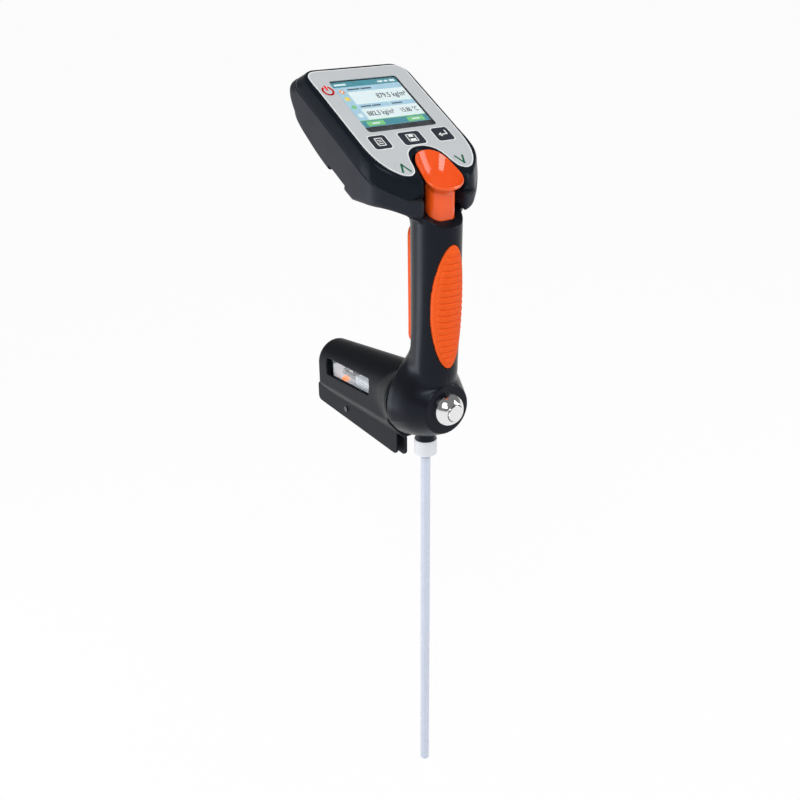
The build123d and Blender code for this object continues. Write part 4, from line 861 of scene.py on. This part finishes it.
cover_black = moulding("cover_black", (0.0036, 0.0040, 0.0056), (0.0066, 0.0070, 0.0092),
                       (0.34, 0.44), 2600.0, 0.07, 0.14)
rear_cover = cast("cell_cover_shell", cell_cover, (-30.0, 17.0, -116.0), (30.0, 132.5, -45.0), 0.5)
settle(rear_cover, "meter", cover_black, "cell_cover", slot="case")
cover_seal = cast("ring_seal", ring_seal, (-30.0, 14.0, -106.0), (30.0, 20.0, -50.0), 0.5)
settle(cover_seal, "meter", seal_rubber, "ring_gasket", slot="gasket")


def plate(name, outline, middle):
    """Flat blade from an outline seen from the side, with rounded edges."""
    mesh = bmesh.new()
    near = middle - KEEL_THICK / 2
    mesh.faces.new([mesh.verts.new(Vector((near, y, z)) / 1000) for y, z in outline])
    thicken(mesh, (KEEL_THICK / 1000, 0, 0))
    piece = solid(name, mesh, True)
    round_edges(piece, 0.35, 40)
    return piece


def corner(y, z, from_angle, to_angle, r):
    """Round corner of a blade."""
    turns = np.radians(np.linspace(from_angle, to_angle, 8))
    return [(y + r * math.cos(a), z + r * math.sin(a)) for a in turns]


for blade_name, blade_x, blade_front in (("keel_plate_near", -KEEL_GAUGE, 41.5),
                                         ("keel_plate_far", KEEL_GAUGE, 36.5)):
    blade = [(blade_front, -108.0)]
    blade += corner(blade_front + KEEL_ROUND, -128.6, 180, 268, KEEL_ROUND)
    blade += corner(148.0, -123.4, -88, 0, KEEL_ROUND) + corner(149.0, -114.5, 0, 90, 3.0)
    blade += [(131.0, -111.5), (120.0, -106.0)]
    settle(plate(blade_name, blade, blade_x), "meter", cover_black, "cell_cover", slot="case")
black_steel = metal("black_steel", (0.10, 0.10, 0.11), (0.30, 0.45), 900.0, (1, 1, 8))
dress(black_steel, "keel_screw")

# Windows and measuring cell: clear panes set in the cover, and behind them the bent glass tube
# on its pale tray, with a small warm lamp beside its end.
TRAY_Z, CLAMP_Z, CLAMP_Y, POST_Y = -96, -89.6, 61.5, 116.2
pane_clear = clear("pane_clear", (0.94, 0.97, 0.98), 0.02, 0.02, 1.45)
dress(pane_clear, "window_left", "window_right")
tube_glass = clear("tube_glass", (0.98, 0.99, 1.0), 0.03, 0.03, 1.45)
tube_shader = tube_glass.node_tree.nodes["Principled BSDF"].inputs
tube_shader["Transmission Weight"].default_value = 0.5
dress(tube_glass, "cell_tube")
tray_white_painted_glow = moulding("tray_white_painted_glow", (0.74, 0.75, 0.77), (0.80, 0.81, 0.83), (0.45, 0.55),
                      1800.0, 0.05, 0.4)
# The tray is given a faint cool glow: painted light that stands in for the light falling on it
# inside the cover.
tray_painted_glow_shader = tray_white_painted_glow.node_tree.nodes["Principled BSDF"].inputs
tray_painted_glow_shader["Emission Color"].default_value = (0.85, 0.92, 1.0, 1.0)
tray_painted_glow_shader["Emission Strength"].default_value = 0.28


def cell_tray(x, y, z):
    """Tray of the cell: a plate, a clamp round the tube with fine level ribs, and an end post."""
    base = share(slab(x, z - TRAY_Z, 18.0, 2.0, 0.6), np.abs(y - 79) - 39)
    ribs = 0.35 * np.cos(z * 2 * math.pi / 2.2)
    clamp = share(np.abs(x) - 8.0 - ribs, np.abs(z - CLAMP_Z) - 6.6, np.abs(y - CLAMP_Y) - 24.5)
    post = share(slab(x, y - POST_Y, 17.0, 2.0, 0.6), np.abs(z + 90) - 7)
    return np.minimum(np.minimum(base, clamp), post)


tray = cast("cell_tray", cell_tray, (-10.0, 38.0, -98.5), (10.0, 119.5, -80.5), 0.4)
settle(tray, "meter", tray_white_painted_glow, "cell_frame", slot="tray")
dress(seal_rubber, "cell_block")
lamp_warm = lit("lamp_warm", (1.0, 0.25, 0.08), 1.6)
dress(lamp_warm, "cell_lamp")

# Push button: a turned and polished dome with a flat plunger in it, screwed into the front of
# the lower housing with a nut behind the wall.
TURNED_SIDES = 96


def turned(name, profile, hollow):
    """Piece turned about the axis of the button, from points along the axis and out from it."""
    mesh = bmesh.new()
    turns = np.linspace(0, 2 * math.pi, TURNED_SIDES, endpoint=False)
    rings = []
    for y, r in profile:
        spots = [(r * math.cos(a), y, BULB_Z + r * math.sin(a)) for a in turns]
        rings.append([mesh.verts.new(Vector(spot) / 1000) for spot in spots])
    for near, far in zip(rings, rings[1:] + rings[:1] if hollow else rings[1:]):
        for k in range(TURNED_SIDES):
            mesh.faces.new((near[k - 1], near[k], far[k], far[k - 1]))
    if not hollow:
        mesh.faces.new(rings[0])
        mesh.faces.new(rings[-1])
    bmesh.ops.recalc_face_normals(mesh, faces=mesh.faces)
    for edge in mesh.edges:
        edge.smooth = edge.calc_face_angle() < math.radians(28)
    return solid(name, mesh, True)


chrome = metal("button_chrome", (0.80, 0.80, 0.81), (0.05, 0.10), 700.0, (1, 6, 1))
dome_profile = [(-4.0, 10.0), (-13.9, 10.0), (-14.0, 11.3), (-15.9, 11.3), (-16.6, 11.2),
                (-18.0, 10.75), (-19.4, 10.05), (-20.8, 8.95), (-22.0, 7.85), (-22.6, 7.2),
                (-22.9, 6.8), (-23.0, 6.5), (-22.95, 6.25), (-22.7, 6.15), (-4.0, 6.15)]
dome = turned("button_bezel_dome", dome_profile, True)
settle(dome, "meter", chrome, "button_bezel", slot="chrome")
plunger_profile = [(-6.0, 5.75), (-23.55, 5.75), (-23.8, 5.68), (-23.95, 5.5), (-24.0, 5.25)]
plunger = turned("button_plunger", plunger_profile, False)
settle(plunger, "button", chrome, "button_cap", slot="chrome")
dress(steel, "button_nut")

# Inlet: a black fitting through the bottom of the housing, with a white union nut and ferrule
# that clamp the sampling tube. The tube is translucent plastic.
dress(handle_black, "inlet_fitting")
nut_white = moulding("nut_white", (0.70, 0.72, 0.76), (0.76, 0.78, 0.82), (0.35, 0.45),
                     1500.0, 0.03, 0.4)
dress(nut_white, "tube_nut", "tube_ferrule")
soften(0.4, "tube_nut")
tube_milky = moulding("tube_milky", (0.58, 0.63, 0.745), (0.61, 0.66, 0.77), (0.24, 0.30),
                      900.0, 0.01, 0.4)
dress(tube_milky, "sampling_tube", "pump_hose")

# Floor: a plain white sheet under the meter. Seen straight or in a reflection it is white, and
# it keeps part of the shadow.
FLOOR_HALF, FLOOR_GLOW, FLOOR_GAP = 40, 0.95, 0.0005
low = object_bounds()[0]
floor_mesh = bpy.data.meshes.new("floor")
floor_corners = [(-1, -1), (1, -1), (1, 1), (-1, 1)]
floor_mesh.from_pydata([(FLOOR_HALF * x, FLOOR_HALF * y, 0) for x, y in floor_corners], [],
                       [(0, 1, 2, 3)])
floor = stand("floor", floor_mesh)
floor.location.z = low.z - FLOOR_GAP


def combine(tree, operation, first, second):
    """One value from two in a tree of nodes; the second is a socket or a number."""
    node = tree.nodes.new("ShaderNodeMath")
    node.operation = operation
    tree.links.new(first, node.inputs[0])
    if isinstance(second, float):
        node.inputs[1].default_value = second
    else:
        tree.links.new(second, node.inputs[1])
    return node.outputs["Value"]


def seen(tree, *kinds):
    """One for rays of these kinds, zero for all others."""
    path = tree.nodes.new("ShaderNodeLightPath")
    share_seen = path.outputs[kinds[0]]
    for kind in kinds[1:]:
        share_seen = combine(tree, "MAXIMUM", share_seen, path.outputs[kind])
    return share_seen


def blend(tree, share_seen, plain, bright, output):
    """Shows the bright surface to the rays that are seen, and the plain one to the rest."""
    mix = tree.nodes.new("ShaderNodeMixShader")
    tree.links.new(share_seen, mix.inputs["Fac"])
    tree.links.new(plain, mix.inputs[1])
    tree.links.new(bright, mix.inputs[2])
    tree.links.new(mix.outputs["Shader"], tree.nodes[output].inputs["Surface"])


floor_white, floor_tree, floor_shader = blank("floor_white")
floor_shader["Base Color"].default_value = (0.9, 0.9, 0.9, 1)
floor_shader["Roughness"].default_value = 0.9
floor_shader["Specular IOR Level"].default_value = 0.0
floor_glow = floor_tree.nodes.new("ShaderNodeEmission")
floor_glow.inputs["Color"].default_value = (1, 1, 1, 1)
floor_seen = seen(floor_tree, "Is Camera Ray", "Is Glossy Ray", "Is Transmission Ray")
blend(floor_tree, combine(floor_tree, "MULTIPLY", floor_seen, FLOOR_GLOW),
      floor_tree.nodes["Principled BSDF"].outputs["BSDF"], floor_glow.outputs["Emission"],
      "Material Output")
floor_mesh.materials.append(floor_white)

# Room: white at the height of the meter and dimmer overhead, as a studio is, and plain soft
# lamps from the upper left, the right and the rear left.
world = bpy.data.worlds.new("studio")
bpy.context.scene.world = world
world.use_nodes = True
sky_tree = world.node_tree
sky = sky_tree.nodes["Background"]
sky_white = sky_tree.nodes.new("ShaderNodeBackground")
for sky_node in (sky, sky_white):
    sky_node.inputs["Color"].default_value = (1, 1, 1, 1)
sky.inputs["Strength"].default_value = 0.5
sky_place = sky_tree.nodes.new("ShaderNodeTexCoord")
sky_height = sky_tree.nodes.new("ShaderNodeSeparateXYZ")
sky_tree.links.new(sky_place.outputs["Generated"], sky_height.inputs["Vector"])
sky_straight = seen(sky_tree, "Is Camera Ray", "Is Transmission Ray")
sky_fade = vary(sky_tree, sky_height.outputs["Z"], (1.0, 0.22), (0.0, 0.18))
sky_level = combine(sky_tree, "MAXIMUM", sky_straight, sky_fade)
sky_tree.links.new(sky_level, sky_white.inputs["Strength"])
sky_seen = seen(sky_tree, "Is Camera Ray", "Is Glossy Ray", "Is Transmission Ray")
blend(sky_tree, sky_seen, sky.outputs["Background"], sky_white.outputs["Background"],
      "World Output")


def softbox(name, spot, size, power):
    """Flat studio lamp that faces the meter."""
    data = bpy.data.lights.new(name, "AREA")
    data.energy = power
    data.shape = "RECTANGLE"
    data.size, data.size_y = size
    lamp = stand(name, data)
    lamp.location = spot
    lamp.rotation_euler = (-Vector(spot)).to_track_quat("-Z", "Y").to_euler()
    lamp.visible_camera = False


softbox("key_lamp", (-0.9, -0.7, 1.0), (0.7, 0.9), 13)
softbox("fill_lamp", (1.0, -0.7, 0.5), (0.5, 1.0), 6)
softbox("strip_lamp", (-0.58, 0.42, -0.2), (0.30, 0.5), 1.8)

# Camera: a little higher than the head, in front and to the left, looking down on the meter,
# with all of it in focus.
yaw, pitch, roll = math.radians(-35.1), math.radians(-24.6), math.radians(-0.5)
level = math.cos(pitch)
ahead = Vector((-math.sin(yaw) * level, math.cos(yaw) * level, math.sin(pitch)))
right = Vector((math.cos(yaw), math.sin(yaw), 0))
right = math.cos(roll) * right + math.sin(roll) * right.cross(ahead)
up = right.cross(ahead)
camera_data = bpy.data.cameras.new("camera")
camera_data.sensor_width = 36.0
camera_data.lens = 45.0
camera_data.clip_start = 0.01
camera = stand("camera", camera_data)
facing = Matrix((right, up, -ahead)).transposed().to_4x4()
camera.matrix_world = Matrix.Translation((-0.37752, -0.49607, 0.21181)) @ facing
bpy.context.scene.camera = camera
bpy.context.scene.view_settings.view_transform = "Standard"
